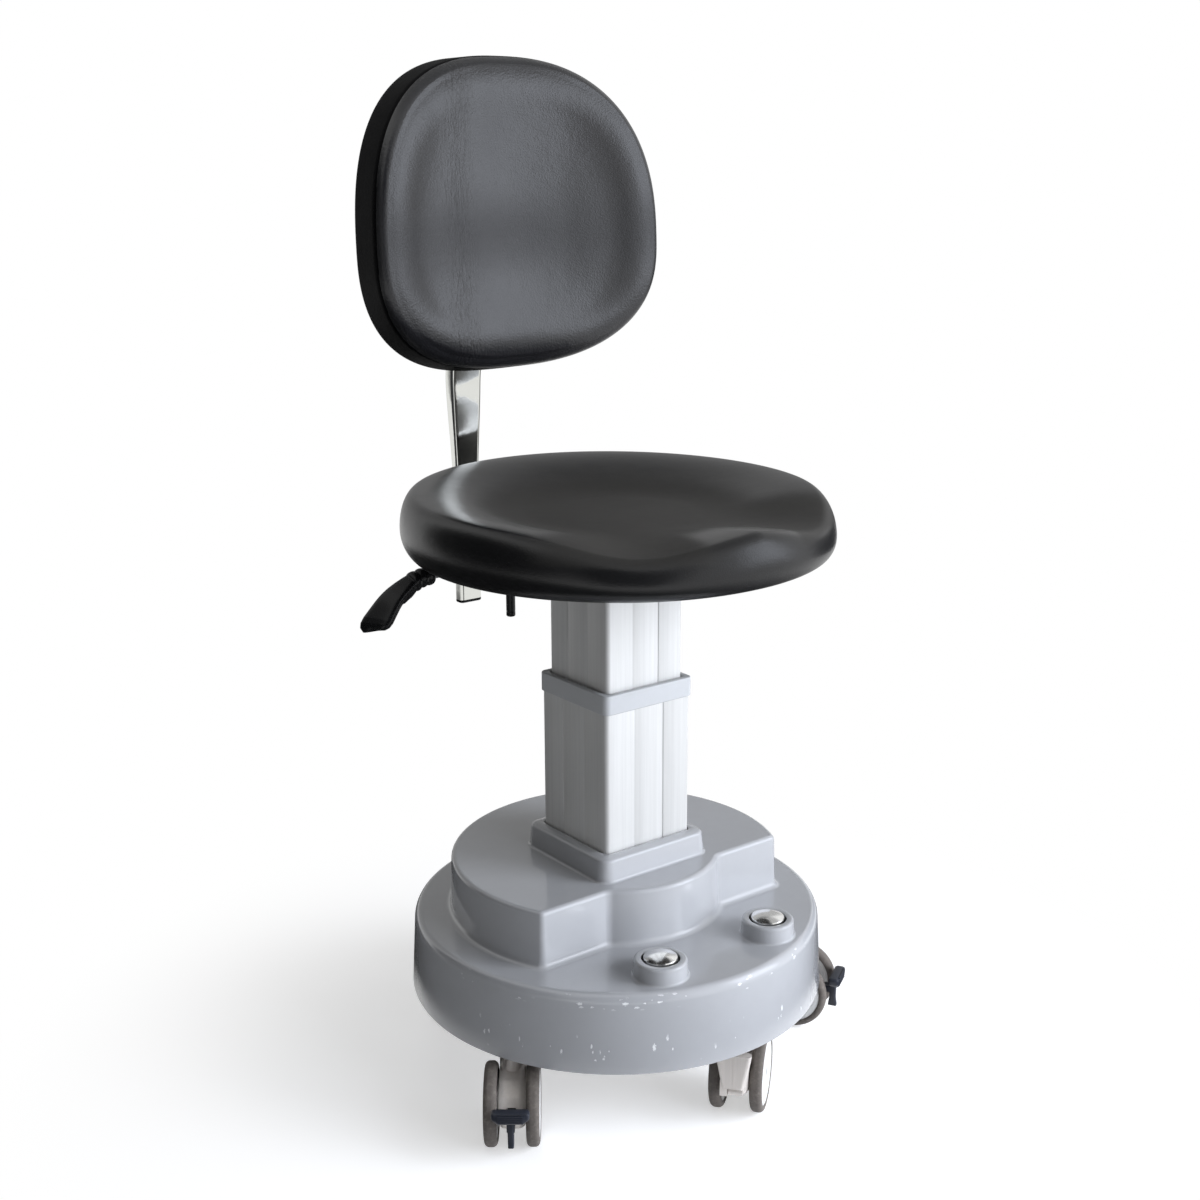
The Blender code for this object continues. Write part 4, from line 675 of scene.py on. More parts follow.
def cover_finish(colours):
    """Gloss grey moulding with chips and scratches along its front edge and wall."""
    look = Finish("cover_grey", specular=0.5, coat=0.6, coat_roughness=0.03)
    graph = look.graph
    marks = handling(graph, look.vector, 9.0, 0.14, 0.22)
    base = graph.mix(marks["Tone"], shade(0.975, colours.cover), shade(1.02, colours.cover))
    parts = graph.node("ShaderNodeSeparateXYZ", {"Vector": look.vector}).outputs
    disc_top = RIM_Z + bpy.context.scene.stool_cover.disc_height
    leaning = graph.maths("ADD", parts["X"], graph.maths("MULTIPLY", parts["Y"], CHIP_LEAN))
    front = graph.span(leaning, *CHIP_FRONT)
    edge = held(graph, parts["Z"], *(disc_top - drop for drop in CHIP_EDGE_DROPS))
    wall = held(graph, parts["Z"], *(RIM_Z + rise for rise in CHIP_WALL_RISES),
                *(disc_top - drop for drop in CHIP_WALL_DROPS))
    clusters = graph.span(graph.noise(look.vector, 17.0, 2.0), *CHIP_CLUSTERS)
    level_marks = chips(graph, graph.stretch(look.vector, (0.7, 0.7, 1.5)), 210.0, 0.44, 0.60)
    upright_marks = chips(graph, graph.stretch(look.vector, (1.2, 1.2, 0.5)), 170.0, 0.34, 0.42)
    zone = graph.maths("MAXIMUM", graph.maths("MULTIPLY", level_marks, edge),
                       graph.maths("MULTIPLY", upright_marks, wall))
    worn = graph.maths("MULTIPLY", graph.maths("MULTIPLY", zone, clusters), front)
    look.set("Base Color", graph.mix(worn, base, tuple(colours.chip)))
    dull = graph.maths("MULTIPLY", worn, CHIP_ROUGHNESS)
    look.set("Roughness", graph.maths("ADD", marks["Roughness"], dull))
    ripple = graph.noise(look.vector, 22.0, 2.0)
    smooth = look.bump(ripple, 0.00018)
    look.bump(graph.maths("SUBTRACT", 1.0, worn), 0.0002, 0.6, smooth)
    return look.material


def collar_finish(colours):
    """Matt grey moulding with a fine spark texture."""
    look = Finish("collar_grey", specular=0.45)
    look.mottle(tuple(colours.collar), 0.03, 20.0, 0.42, 0.52)
    look.bump(look.graph.noise(look.vector, 900.0, 2.0), 0.00005)
    return look.material


def anodised_finish(colours):
    """Satin extrusion with drawn lines along its length."""
    look = Finish("anodised", metallic=0.3)
    graph = look.graph
    lines = streaks(graph, look.vector, 240.0)
    tone = graph.span(lines, 0.36, 0.64)
    look.set("Base Color", graph.mix(tone, shade(0.95, colours.anodised), shade(1.03, colours.anodised)))
    marks = handling(graph, look.vector, 14.0, 0.0, 0.06)
    look.set("Roughness", graph.maths("ADD", marks["Roughness"], graph.span(lines, 0.3, 0.7, 0.40, 0.48)))
    look.bump(lines, 0.00003, 0.5)
    return look.material


def metal_finish(name, base, low, high, scale, relief):
    """Bare or plated metal with soft marks and a slight unevenness."""
    look = Finish(name, metallic=1.0)
    look.mottle(tuple(base), 0.03, scale, low, high)
    look.bump(look.graph.noise(look.vector, 70.0, 2.0), relief)
    return look.material


def button_finish(colours):
    """Polished steel with turned rings about each foot button's axis."""
    look = Finish("polished", metallic=1.0)
    graph = look.graph
    look.mottle(tuple(colours.polished), 0.03, 60.0, 0.15, 0.22)
    flat = graph.stretch(look.vector, (1.0, 1.0, 0.0))
    reaches = []
    for node in ("foot_button_up", "foot_button_down"):
        centre = middle(node)
        reaches.append(graph.distance(flat, (centre.x, centre.y, 0.0)))
    reach = graph.maths("MINIMUM", reaches[0], reaches[1])
    rings = graph.noise(graph.node("ShaderNodeCombineXYZ", {"X": reach}).outputs[0], 1500.0, 2.0)
    look.bump(rings, 0.00003, 0.5)
    return look.material


def nickel_finish(colours):
    """Warm satin plating with upright brushing."""
    look = Finish("nickel", metallic=0.35)
    graph = look.graph
    lines = streaks(graph, look.vector, 420.0)
    look.set("Base Color", graph.mix(graph.span(lines, 0.35, 0.65), shade(0.96, colours.nickel),
                                     shade(1.03, colours.nickel)))
    marks = handling(graph, look.vector, 30.0, 0.36, 0.46)
    look.set("Roughness", marks["Roughness"])
    look.bump(lines, 0.00002, 0.4)
    return look.material


def plastic_finish(name, base, low, high, grain, depth, specular=0.5):
    """Moulded plastic with a fine texture and soft marks."""
    look = Finish(name, specular=specular)
    look.mottle(tuple(base), 0.06, 24.0, low, high)
    look.bump(look.graph.noise(look.vector, grain, 2.0), depth)
    return look.material


def tyre_finish(colours):
    """Taupe rubber with dust and fine wear round the tread."""
    look = Finish("tyre", specular=0.3)
    graph = look.graph
    marks = handling(graph, look.vector, 60.0, 0.62, 0.80)
    dust = graph.span(graph.noise(look.vector, 210.0, 4.0, 0.65), 0.48, 0.72)
    base = graph.mix(marks["Tone"], shade(0.80, colours.tyre), shade(1.18, colours.tyre))
    look.set("Base Color", graph.mix(graph.maths("MULTIPLY", dust, 0.35), base, shade(2.2, colours.tyre)))
    look.set("Roughness", marks["Roughness"])
    look.bump(graph.noise(look.vector, 650.0, 3.0), 0.00012)
    return look.material


def plywood_finish(colours):
    """Stained plywood with veneer lines."""
    look = Finish("plywood", specular=0.35)
    graph = look.graph
    grain = graph.noise(graph.stretch(look.vector, (6.0, 1.0, 120.0)), 14.0, 5.0, 0.6, 0.8)
    look.set("Base Color", graph.mix(graph.span(grain, 0.3, 0.7), shade(0.72, colours.plywood),
                                     shade(1.12, colours.plywood)))
    look.set("Roughness", graph.span(grain, 0.3, 0.7, 0.6, 0.75))
    look.bump(grain, 0.0001)
    return look.material


SEAT_TOP_RISES = (0.030, 0.036)
SEAT_WORN_REACH = (0.165, 0.100)
SEAT_ROUGHNESS = (0.27, 0.58)
THIGHS_ACROSS = (0.02, 0.06)
THIGHS_AHEAD = (0.05, 0.12)
THIGHS_REACH = 0.07


def seat_finish(colours):
    """Smooth black skin, duller and browner where it is sat on and where the thighs rest."""
    look = Finish("seat_vinyl", specular=0.48)
    graph = look.graph
    marks = handling(graph, look.vector, 16.0, 0.0, 0.04)
    centre = (SEAT_MIDDLE.x, SEAT_MIDDLE.y, SEAT_Z)
    reach = graph.distance(look.vector, centre)
    parts = graph.node("ShaderNodeSeparateXYZ", {"Vector": look.vector}).outputs
    height = graph.span(parts["Z"], *(SEAT_Z + rise for rise in SEAT_TOP_RISES))
    across = graph.maths("ABSOLUTE", graph.maths("SUBTRACT", parts["X"], SEAT_MIDDLE.x))
    ahead = graph.span(parts["Y"], *(SEAT_MIDDLE.y - way for way in THIGHS_AHEAD))
    thighs = graph.maths("MULTIPLY", graph.span(across, *THIGHS_ACROSS), ahead)
    nearer = graph.maths("SUBTRACT", reach, graph.maths("MULTIPLY", thighs, THIGHS_REACH))
    used = graph.maths("MULTIPLY", graph.span(nearer, *SEAT_WORN_REACH), height)
    fresh = graph.mix(marks["Tone"], shade(0.9, colours.seat_vinyl), shade(1.1, colours.seat_vinyl))
    look.set("Base Color", graph.mix(used, fresh, colours.seat_worn))
    dull = graph.span(used, 0.0, 1.0, *SEAT_ROUGHNESS)
    look.set("Roughness", graph.maths("ADD", marks["Roughness"], dull))
    fine = look.bump(leather(graph, look.vector, 800.0), 0.00020, 0.6)
    look.bump(graph.noise(look.vector, 45.0, 2.0), 0.0004, 0.5, fine)
    return look.material


def back_side_shaded_finish(colours):
    """Black skin of the backrest's sides and rear: a darker copy of the back skin with almost no gloss, which is
    painted shade.
    """
    look = Finish("back_side", specular=0.02)
    # Painted shade: the back skin's colour at 0.4, for the faces that turn away from the front.
    look.mottle(shade(0.4, colours.back_vinyl), 0.1, 18.0, 0.50, 0.60)
    look.bump(leather(look.graph, look.vector, 560.0), 0.00025, 0.8)
    return look.material


RUBBED_DROP = 0.162
RUBBED_HALF = 0.055
RUBBED_ROUGHNESS = 0.16
WRINKLE_PLACE = 0.064
WRINKLE_WANDER = 0.02
WRINKLE_FADE = (0.030, 0.002)


def back_finish(colours):
    """Black skin with leather grain, a rubbed band, and upright wrinkles a third of the way across."""
    look = Finish("back_vinyl", specular=0.7)
    graph = look.graph
    marks = handling(graph, look.vector, 18.0, 0.27, 0.35)
    tones = (shade(0.88, colours.back_vinyl), shade(1.14, colours.back_vinyl))
    look.set("Base Color", graph.mix(marks["Tone"], *tones))
    parts = graph.node("ShaderNodeSeparateXYZ", {"Vector": look.vector}).outputs
    from_band = graph.maths("ABSOLUTE", graph.maths("SUBTRACT", parts["Z"], BACK_HIGH.z - RUBBED_DROP))
    rubbed = graph.span(from_band, RUBBED_HALF, 0.0, 0.0, RUBBED_ROUGHNESS)
    look.set("Roughness", graph.maths("ADD", marks["Roughness"], rubbed))
    bend = graph.maths("SUBTRACT", graph.noise(look.vector, 14.0, 2.0), 0.5)
    line = graph.maths("ADD", parts["X"], graph.maths("MULTIPLY", bend, WRINKLE_WANDER))
    away = graph.maths("ABSOLUTE", graph.maths("ADD", line, WRINKLE_PLACE))
    creased = graph.span(away, *WRINKLE_FADE)
    wrinkles = graph.noise(graph.stretch(look.vector, (1.0, 1.0, 0.22)), 330.0, 3.0, 0.6, 0.3)
    fine = look.bump(leather(graph, look.vector, 620.0), 0.00026, 0.8)
    broad = look.bump(graph.noise(look.vector, 60.0, 4.0, 0.6), 0.0006, 0.6, fine)
    look.bump(graph.maths("MULTIPLY", wrinkles, creased), 0.0009, 0.8, broad)
    return look.material


def make_finishes(colours):
    """Every finish by its slot's name."""
    return {
        "cover_grey": cover_finish(colours),
        "collar_grey": collar_finish(colours),
        "anodised": anodised_finish(colours),
        "chrome": metal_finish("chrome", colours.chrome, 0.03, 0.07, 30.0, 0.00008),
        "polished": button_finish(colours),
        "nickel": nickel_finish(colours),
        "steel": metal_finish("steel", colours.steel, 0.38, 0.50, 40.0, 0.00015),
        "black_steel": plastic_finish("black_steel", colours.black_steel, 0.42, 0.52, 1400.0, 0.00008),
        "black_plastic": plastic_finish("black_plastic", colours.black_plastic, 0.20, 0.28, 1100.0, 0.00001,
                                        0.26),
        "pedal_plastic": plastic_finish("pedal_plastic", colours.pedal, 0.34, 0.46, 1000.0, 0.00005),
        "glide_plastic": plastic_finish("glide_plastic", colours.glide, 0.45, 0.55, 1000.0, 0.00004),
        "wheel_cover": plastic_finish("wheel_cover", colours.wheel_cover, 0.28, 0.38, 900.0, 0.00004),
        "tyre": tyre_finish(colours),
        "plywood": plywood_finish(colours),
        "seat_vinyl": seat_finish(colours),
        "back_vinyl": back_finish(colours),
        "back_side": back_side_shaded_finish(colours),
    }


FINISHES = {}


def look_of(slot):
    """A finish by its slot's name."""
    if not FINISHES:
        FINISHES.update(make_finishes(bpy.context.scene.stool_colours))
    return FINISHES[slot]


# Base cover and buttons

BUTTON_RADIUS = 0.0155
BUTTON_DOME = 0.0034
BUTTON_DOME_POWER = 2.2
BUTTON_DOME_RINGS = 14
BUTTON_RISE = 0.0015
BUTTON_STEM = 0.006
BUTTON_STEM_EDGE = 0.0005
BUTTON_FLANGE_LOW = (0.0077, 0.0083)
BUTTON_FLANGE_HIGH = (0.0108, 0.0111)
FLAT_MARGIN = 0.0008
LIP_EDGE = 0.0017
BOSS_EDGE = 0.0026
BOSS_MARGIN = 0.0003
OPENING_GAP = 0.0018
OPENING_CORNER = 0.0045
PLINTH_TURN = 0.46 * pi


def hollow(fillet, foot):
    """Points of a hollow corner at a wall's foot as (offset, height) pairs."""
    turn = np.linspace(0.0, pi / 2.0, ROUND_STEPS + 1)
    return [(fillet * (1.0 - np.sin(t)), foot + fillet * (1.0 - np.cos(t))) for t in turn]


def tier(skin, outline, foot, top, fillet, edge, draft, foot_margin):
    """A tier's foot fillet, wall and round top edge; returns its lowest and highest loop."""
    profile = [(fillet + foot_margin, foot)] + hollow(fillet, foot)
    profile += quarter((-draft - edge, top - edge), edge, edge, 0.0, pi / 2.0)
    profile.append((-draft - edge - FLAT_MARGIN, top))
    numbers = skin.tube([ring(outline, offset, height) for offset, height in profile])
    return numbers[0], numbers[-1]


def cover_skin(cover):
    """The whole outer skin of the base cover, open at its rim, its column opening and its button holes."""
    skin = Skin()
    disc_top = RIM_Z + cover.disc_height
    platform_top = disc_top + cover.platform_height
    disc = circle((0.0, 0.0), size("base_cover").x / 2.0, 2 * LARGE_STEPS)
    inner = -cover.disc_draft - cover.disc_edge_reach
    profile = [(-LIP_EDGE, RIM_Z), (-0.3 * LIP_EDGE, RIM_Z + 0.3 * LIP_EDGE), (0.0, RIM_Z + LIP_EDGE)]
    profile += quarter((inner, disc_top - cover.disc_edge_drop), cover.disc_edge_reach, cover.disc_edge_drop,
                       0.0, pi / 2.0, 2 * ROUND_STEPS)
    profile.append((inner - FLAT_MARGIN, disc_top))
    disc_loop = skin.tube([ring(disc, offset, height) for offset, height in profile])[-1]

    outline = platform_outline(cover)
    platform_foot, platform_loop = tier(skin, outline, disc_top, platform_top, cover.foot_fillet,
                                        cover.top_edge, cover.wall_draft, FLAT_MARGIN)
    boss_feet = []
    for node in ("foot_button_up", "foot_button_down"):
        centre = (middle(node) - AXIS).xy
        boss = circle(centre, cover.boss_radius, SMALL_STEPS)
        foot, loop = tier(skin, boss, disc_top, disc_top + cover.boss_height, cover.boss_fillet, BOSS_EDGE,
                          cover.wall_draft / 3.0, BOSS_MARGIN)
        boss_feet.append(foot)
        hole = BUTTON_RADIUS + cover.button_gap
        top = disc_top + cover.boss_height
        lip = [(hole + 0.0006, top), (hole + 0.0002, top - 0.0002), (hole, top - 0.0008)]
        rings = skin.tube([ring(circle(centre, radius, SMALL_STEPS), 0.0, height) for radius, height in lip])
        skin.band(loop, rings[0])
    skin.fill([disc_loop, platform_foot] + boss_feet)

    plinth = rounded_rectangle(2.0 * cover.plinth_half, 2.0 * cover.plinth_half, cover.plinth_corner)
    fillet = cover.plinth_fillet
    edge = cover.plinth_edge
    profile = [(fillet + FLAT_MARGIN / 2.0, platform_top)] + hollow(fillet, platform_top)
    crest = COVER_TOP_Z - cover.plinth_slope
    profile += quarter((-cover.wall_draft - edge, crest - edge), edge, edge, 0.0, PLINTH_TURN)
    profile.append((-cover.plinth_rim, COVER_TOP_Z))
    numbers = skin.tube([ring(plinth, offset, height) for offset, height in profile])
    skin.fill([platform_loop, numbers[0]])
    gap = size("lower_column").x + OPENING_GAP
    opening = rounded_rectangle(gap, gap, OPENING_CORNER)
    mouth = skin.tube([ring(opening, 0.0006, COVER_TOP_Z), ring(opening, 0.0002, COVER_TOP_Z - 0.0002),
                       ring(opening, 0.0, COVER_TOP_Z - 0.0009)])
    skin.band(numbers[-1], mouth[0])
    return skin


class STOOL_OT_base_cover(bpy.types.Operator):
    """Mould the grey base cover with its tiers, plinth and button bosses"""
    bl_idname = "stool.base_cover"
    bl_label = "Base cover"

    def execute(self, context):
        cover = context.scene.stool_cover
        piece = cover_skin(cover).piece("base_cover_shell", look_of("cover_grey"), 50.0,
                                        about((AXIS.x, AXIS.y, 0.0)))
        shell = piece.modifiers.new("wall", "SOLIDIFY")
        shell.thickness = cover.wall
        shell.offset = -1.0
        shell.use_even_offset = False
        shell.use_quality_normals = True
        freeze(piece, 50.0)
        wear(piece, "base", "cover_grey", "base_cover")
        return {"FINISHED"}


class STOOL_OT_foot_buttons(bpy.types.Operator):
    """Turn the two polished foot buttons"""
    bl_idname = "stool.foot_buttons"
    bl_label = "Foot buttons"

    def execute(self, context):
        for name in ("up", "down"):
            node = f"foot_button_{name}"
            low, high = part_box(node)
            place = about((middle(node).x, middle(node).y, 0.0))
            radius = BUTTON_RADIUS
            dome = BUTTON_DOME
            stem = BUTTON_STEM
            flange = size(node).x / 2.0
            top = high.z + BUTTON_RISE
            profile = [(0.0, low.z), (stem - BUTTON_STEM_EDGE, low.z), (stem, low.z + BUTTON_STEM_EDGE)]
            profile += [(reach, low.z + rise) for reach, rise in zip((stem, flange), BUTTON_FLANGE_LOW)]
            profile += [(reach, low.z + rise) for reach, rise in zip((flange, radius), BUTTON_FLANGE_HIGH)]
            profile += [(radius, top - dome - 0.0008), (radius - 0.0002, top - dome - 0.0003)]
            for turn in np.linspace(0.0, 1.0, BUTTON_DOME_RINGS)[:-1]:
                reach = (radius - 0.0005) * (1.0 - turn)
                profile.append((reach, top - dome * (reach / radius) ** BUTTON_DOME_POWER))
            profile.append((0.0, top))
            piece = turned(profile, SMALL_STEPS).piece(f"{node}_dome", look_of("polished"), 35.0, place)
            wear(piece, f"button_{name}", "polished", node)
        return {"FINISHED"}


# Column

GROOVE_RIM = 0.00012
TUBE_EDGE = 0.0003
COLLAR_CORNER = 0.002
COLLAR_FOOT = 0.0006
COLLAR_EDGE = 0.0012
COLLAR_MOUTH_EDGE = ((0.0008, 0.0), (0.0002, 0.0003), (0.0, 0.0008))


def grooved_outlines(width, rig, wall):
    """Outline of a square extrusion with two grooves a face, and its bore with as many points."""
    half = width / 2.0
    corner = rig.column_corner
    rim = GROOVE_RIM
    outer = []
    plain = []
    bend = [tuple(row[:2]) for row in arc((half - corner, half - corner), corner, 0.0, pi / 2.0, ARC_STEPS)]
    for quarter_turn in range(4):
        depths = (rig.faint_groove, rig.groove_depth)
        if quarter_turn % 2:
            depths = depths[::-1]
        face = list(bend)
        flat = list(bend)
        for centre, depth in zip((rig.groove_place * width, -rig.groove_place * width), depths):
            near = centre + rig.groove_width / 2.0
            far = centre - rig.groove_width / 2.0
            lip = half - min(rim, depth / 2.0)
            floor = half - depth
            face += [(near + rim, half), (near - rim, lip), (centre + rim, floor), (centre - rim, floor),
                     (far + rim, lip), (far - rim, half)]
            flat += [(x, half) for x, _ in face[-6:]]
        turn = Matrix.Rotation(quarter_turn * pi / 2.0, 2)
        outer += [tuple(turn @ Vector(point)) for point in face]
        plain += [tuple(turn @ Vector(point)) for point in flat]
    inward = (half - wall) / half
    return np.array(outer), inward * np.array(plain)


def column_tube(node, rig):
    """A grooved tube in a node's place."""
    low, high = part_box(node)
    outer, bore = grooved_outlines(size(node).x, rig, rig.column_wall)
    edge = TUBE_EDGE
    scale = 1.0 - edge / (size(node).x / 2.0)
    levels = [(outer * scale, low.z), (outer, low.z + edge), (outer, high.z - edge), (outer * scale, high.z),
              (bore, high.z), (bore, low.z)]
    skin = Skin()
    skin.tube([np.column_stack([points, np.full(len(points), z)]) for points, z in levels], closed=True)
    return skin.piece(f"{node}_tube", look_of("anodised"), 30.0, about((AXIS.x, AXIS.y, 0.0)))


class STOOL_OT_column(bpy.types.Operator):
    """Draw the two anodised column tubes and mould the collar between them"""
    bl_idname = "stool.column"
    bl_label = "Column"

    def execute(self, context):
        rig = context.scene.stool_rig
        wear(column_tube("lower_column", rig), "base", "anodised", "lower_column")
        wear(column_tube("upper_column", rig), "lift", "anodised", "upper_column")
        outside = size("column_collar").x
        mouth = size("upper_column").x + 2.0 * rig.collar_mouth
        pocket = size("lower_column").x + 2.0 * CLEARANCE
        corner = rig.column_corner + COLLAR_CORNER
        outer = rounded_rectangle(outside, outside, corner)
        inner = rounded_rectangle(mouth, mouth, rig.column_corner)
        bore = rounded_rectangle(pocket, pocket, rig.column_corner)
        low = COLLAR_LOW.z
        top = COLLAR_HIGH.z
        ledge = top - rig.collar_lip
        round_top = quarter((-COLLAR_EDGE, top - COLLAR_EDGE), COLLAR_EDGE, COLLAR_EDGE, 0.0, pi / 2.0, 5)
        rings = [ring(outer, -COLLAR_FOOT, low), ring(outer, 0.0, low + COLLAR_FOOT)]
        rings += [ring(outer, offset, height) for offset, height in round_top]
        rings += [ring(inner, offset, top - drop) for offset, drop in COLLAR_MOUTH_EDGE]
        rings += [ring(inner, 0.0, ledge), ring(bore, 0.0, ledge), ring(bore, 0.0, low)]
        skin = Skin()
        skin.tube(rings, closed=True)
        piece = skin.piece("column_collar_ring", look_of("collar_grey"), 35.0, about((AXIS.x, AXIS.y, 0.0)))
        wear(piece, "base", "collar_grey", "column_collar")
        return {"FINISHED"}


# Seat

SEAT_COLUMNS = 224
EDGE_ROWS = 14
DISH_ROWS = 44
INNERMOST = 0.02
UNDERSIDE_REACHES = (0.02, 0.08, 0.14)


def seat_rows(pads):
    """Rings of the saddle seat from its underside over the rim to the middle of the dish."""
    front = np.linspace(-pi, pi, SEAT_COLUMNS, endpoint=False)
    offset = (np.abs(front) - pads.seat_trough_angle) / pads.seat_trough_spread
    rim = pads.seat_rim + pads.seat_rear_rise * (1.0 - np.cos(front)) / 2.0
    rim = rim - pads.seat_trough * np.exp(-offset * offset)
    bulge = pads.seat_bulge * rim
    radius = size("seat_cushion").x / 2.0
    rows = [(np.full(SEAT_COLUMNS, reach), np.zeros(SEAT_COLUMNS)) for reach in UNDERSIDE_REACHES]
    for turn in np.linspace(0.0, pi / 2.0, EDGE_ROWS):
        reach = pads.seat_underside + (radius - pads.seat_underside) * np.sin(turn)
        rows.append((np.full(SEAT_COLUMNS, reach), bulge * (1.0 - np.cos(turn))))
    for turn in np.linspace(0.0, pi / 2.0, EDGE_ROWS)[1:]:
        reach = pads.seat_crest + (radius - pads.seat_crest) * np.cos(turn)
        rows.append((np.full(SEAT_COLUMNS, reach), bulge + (rim - bulge) * np.sin(turn)))
    for part in np.linspace(1.0, INNERMOST, DISH_ROWS)[1:]:
        lift = smooth_step((part - pads.seat_dish_floor) / (1.0 - pads.seat_dish_floor))
        reach = np.full(SEAT_COLUMNS, part * pads.seat_crest)
        rows.append((reach, pads.seat_dish + (rim - pads.seat_dish) * lift))
    return [np.column_stack([reach * np.sin(front), -reach * np.cos(front), height])
            for reach, height in rows]


class STOOL_OT_seat(bpy.types.Operator):
    """Mould the saddle seat with its raised rear, pommel and thigh hollows"""
    bl_idname = "stool.seat"
    bl_label = "Seat"

    def execute(self, context):
        skin = solid_skin(seat_rows(context.scene.stool_pads))
        place = about((SEAT_MIDDLE.x, SEAT_MIDDLE.y, SEAT_Z))
        piece = skin.piece("seat_pad", look_of("seat_vinyl"), 60.0, place)
        wear(piece, "seat", "seat_vinyl", "seat_cushion")
        return {"FINISHED"}


# Backrest

BACK_COLUMNS = 240
FRONT_ROWS = 56
REAR_ROWS = 14
REAR_INNERMOST = 0.03
BACK_DISH_FLOOR = 0.35
# Faces of the pad that turn further from the front than this take the darker side skin, which is painted shade.
BACK_EDGE_TURN = radians(72.0)
BACK_SHADED_SIDE_FACING = -0.30
SHELL_THICKNESS = 0.008
SHELL_EDGE = 0.0035


def back_outline(pads, deep, inset_x, inset_z):
    """The backrest's outline seen from the front, at a share of its depth and drawn in."""
    turn = tau * (np.arange(BACK_COLUMNS) + 0.5) / BACK_COLUMNS
    power = 2.0 / pads.back_roundness
    across = np.sign(np.cos(turn)) * np.abs(np.cos(turn)) ** power
    up = np.sign(np.sin(turn)) * np.abs(np.sin(turn)) ** power
    half_width = pads.back_half_width - deep * pads.back_side_draw - inset_x
    height = np.where(up > 0.0, pads.back_upper, pads.back_lower + deep * pads.back_undercut)
    return across * half_width, up * (height - inset_z)


def back_hollow(pads, x, z, part):
    """Depth of the front behind its crease: dish, hollows beside the bolsters and lumbar band."""
    across = np.clip(np.abs(x) / pads.back_dish_width, 0.0, 1.0)
    up = np.clip(np.abs(z) / np.where(z > 0.0, pads.back_upper, pads.back_lower), 0.0, 1.0)
    shelter = 1.0 - smooth_step((across - BACK_DISH_FLOOR) / (1.0 - BACK_DISH_FLOOR))
    ends = (1.0 - up ** 4) ** 2
    offset = (z + pads.back_lumbar_drop) / pads.back_lumbar_spread
    beside = (part - pads.back_channel_place) / pads.back_channel_spread
    sides = x * x / (x * x + z * z + 1e-9)
    channel = pads.back_channel * np.exp(-beside * beside) * sides
    return pads.back_dish * shelter * ends + channel - pads.back_lumbar * shelter * np.exp(-offset * offset)


def back_ring(pads, distance, inset_x, inset_z, part=1.0, hollow=0.0):
    """One ring of the backrest at a distance behind its front."""
    deep = min(distance / pads.back_thickness, 1.0)
    x, z = back_outline(pads, deep, inset_x, inset_z)
    edge = np.clip((1.0 - part) * np.hypot(x, z) / pads.back_shoulder_width, 0.0, 1.0)
    x = part * x
    z = part * z
    swell = pads.back_shoulder * edge * (2.0 - edge)
    depth = distance + hollow * (back_hollow(pads, x, z, part) - swell)
    return np.column_stack([x, depth - x * x / (2.0 * pads.back_curve) + z * tan(pads.back_lean), z])


def back_rings(pads):
    """Rings of the pad from the middle of its rear round its edge to the middle of its front."""
    rear = pads.back_thickness
    edge = pads.back_rear_edge
    rings = [back_ring(pads, rear, edge, edge, part) for part in np.linspace(REAR_INNERMOST, 1.0, REAR_ROWS)]
    for turn in np.linspace(pi / 2.0, 0.0, EDGE_ROWS)[1:]:
        inset = edge * (1.0 - np.cos(turn))
        rings.append(back_ring(pads, rear - edge * (1.0 - np.sin(turn)), inset, inset))
    for turn in np.linspace(0.0, BACK_EDGE_TURN, 2 * EDGE_ROWS):
        draw = 1.0 - np.cos(turn)
        distance = pads.back_front_edge * (1.0 - np.sin(turn))
        side = pads.back_crease_side * draw
        end = pads.back_crease_end * draw
        rings.append(back_ring(pads, distance, side, end))
    for part in np.linspace(1.0, INNERMOST, FRONT_ROWS)[1:]:
        rings.append(back_ring(pads, distance, side, end, part, 1.0))
    return rings


def back_place(pads):
    """Where the backrest's middle lies, found from its node's box."""
    points = np.vstack(back_rings(pads))
    return Vector(((BACK_LOW.x + BACK_HIGH.x) / 2.0, BACK_LOW.y - points[:, 1].min(),
                   BACK_HIGH.z - points[:, 2].max()))


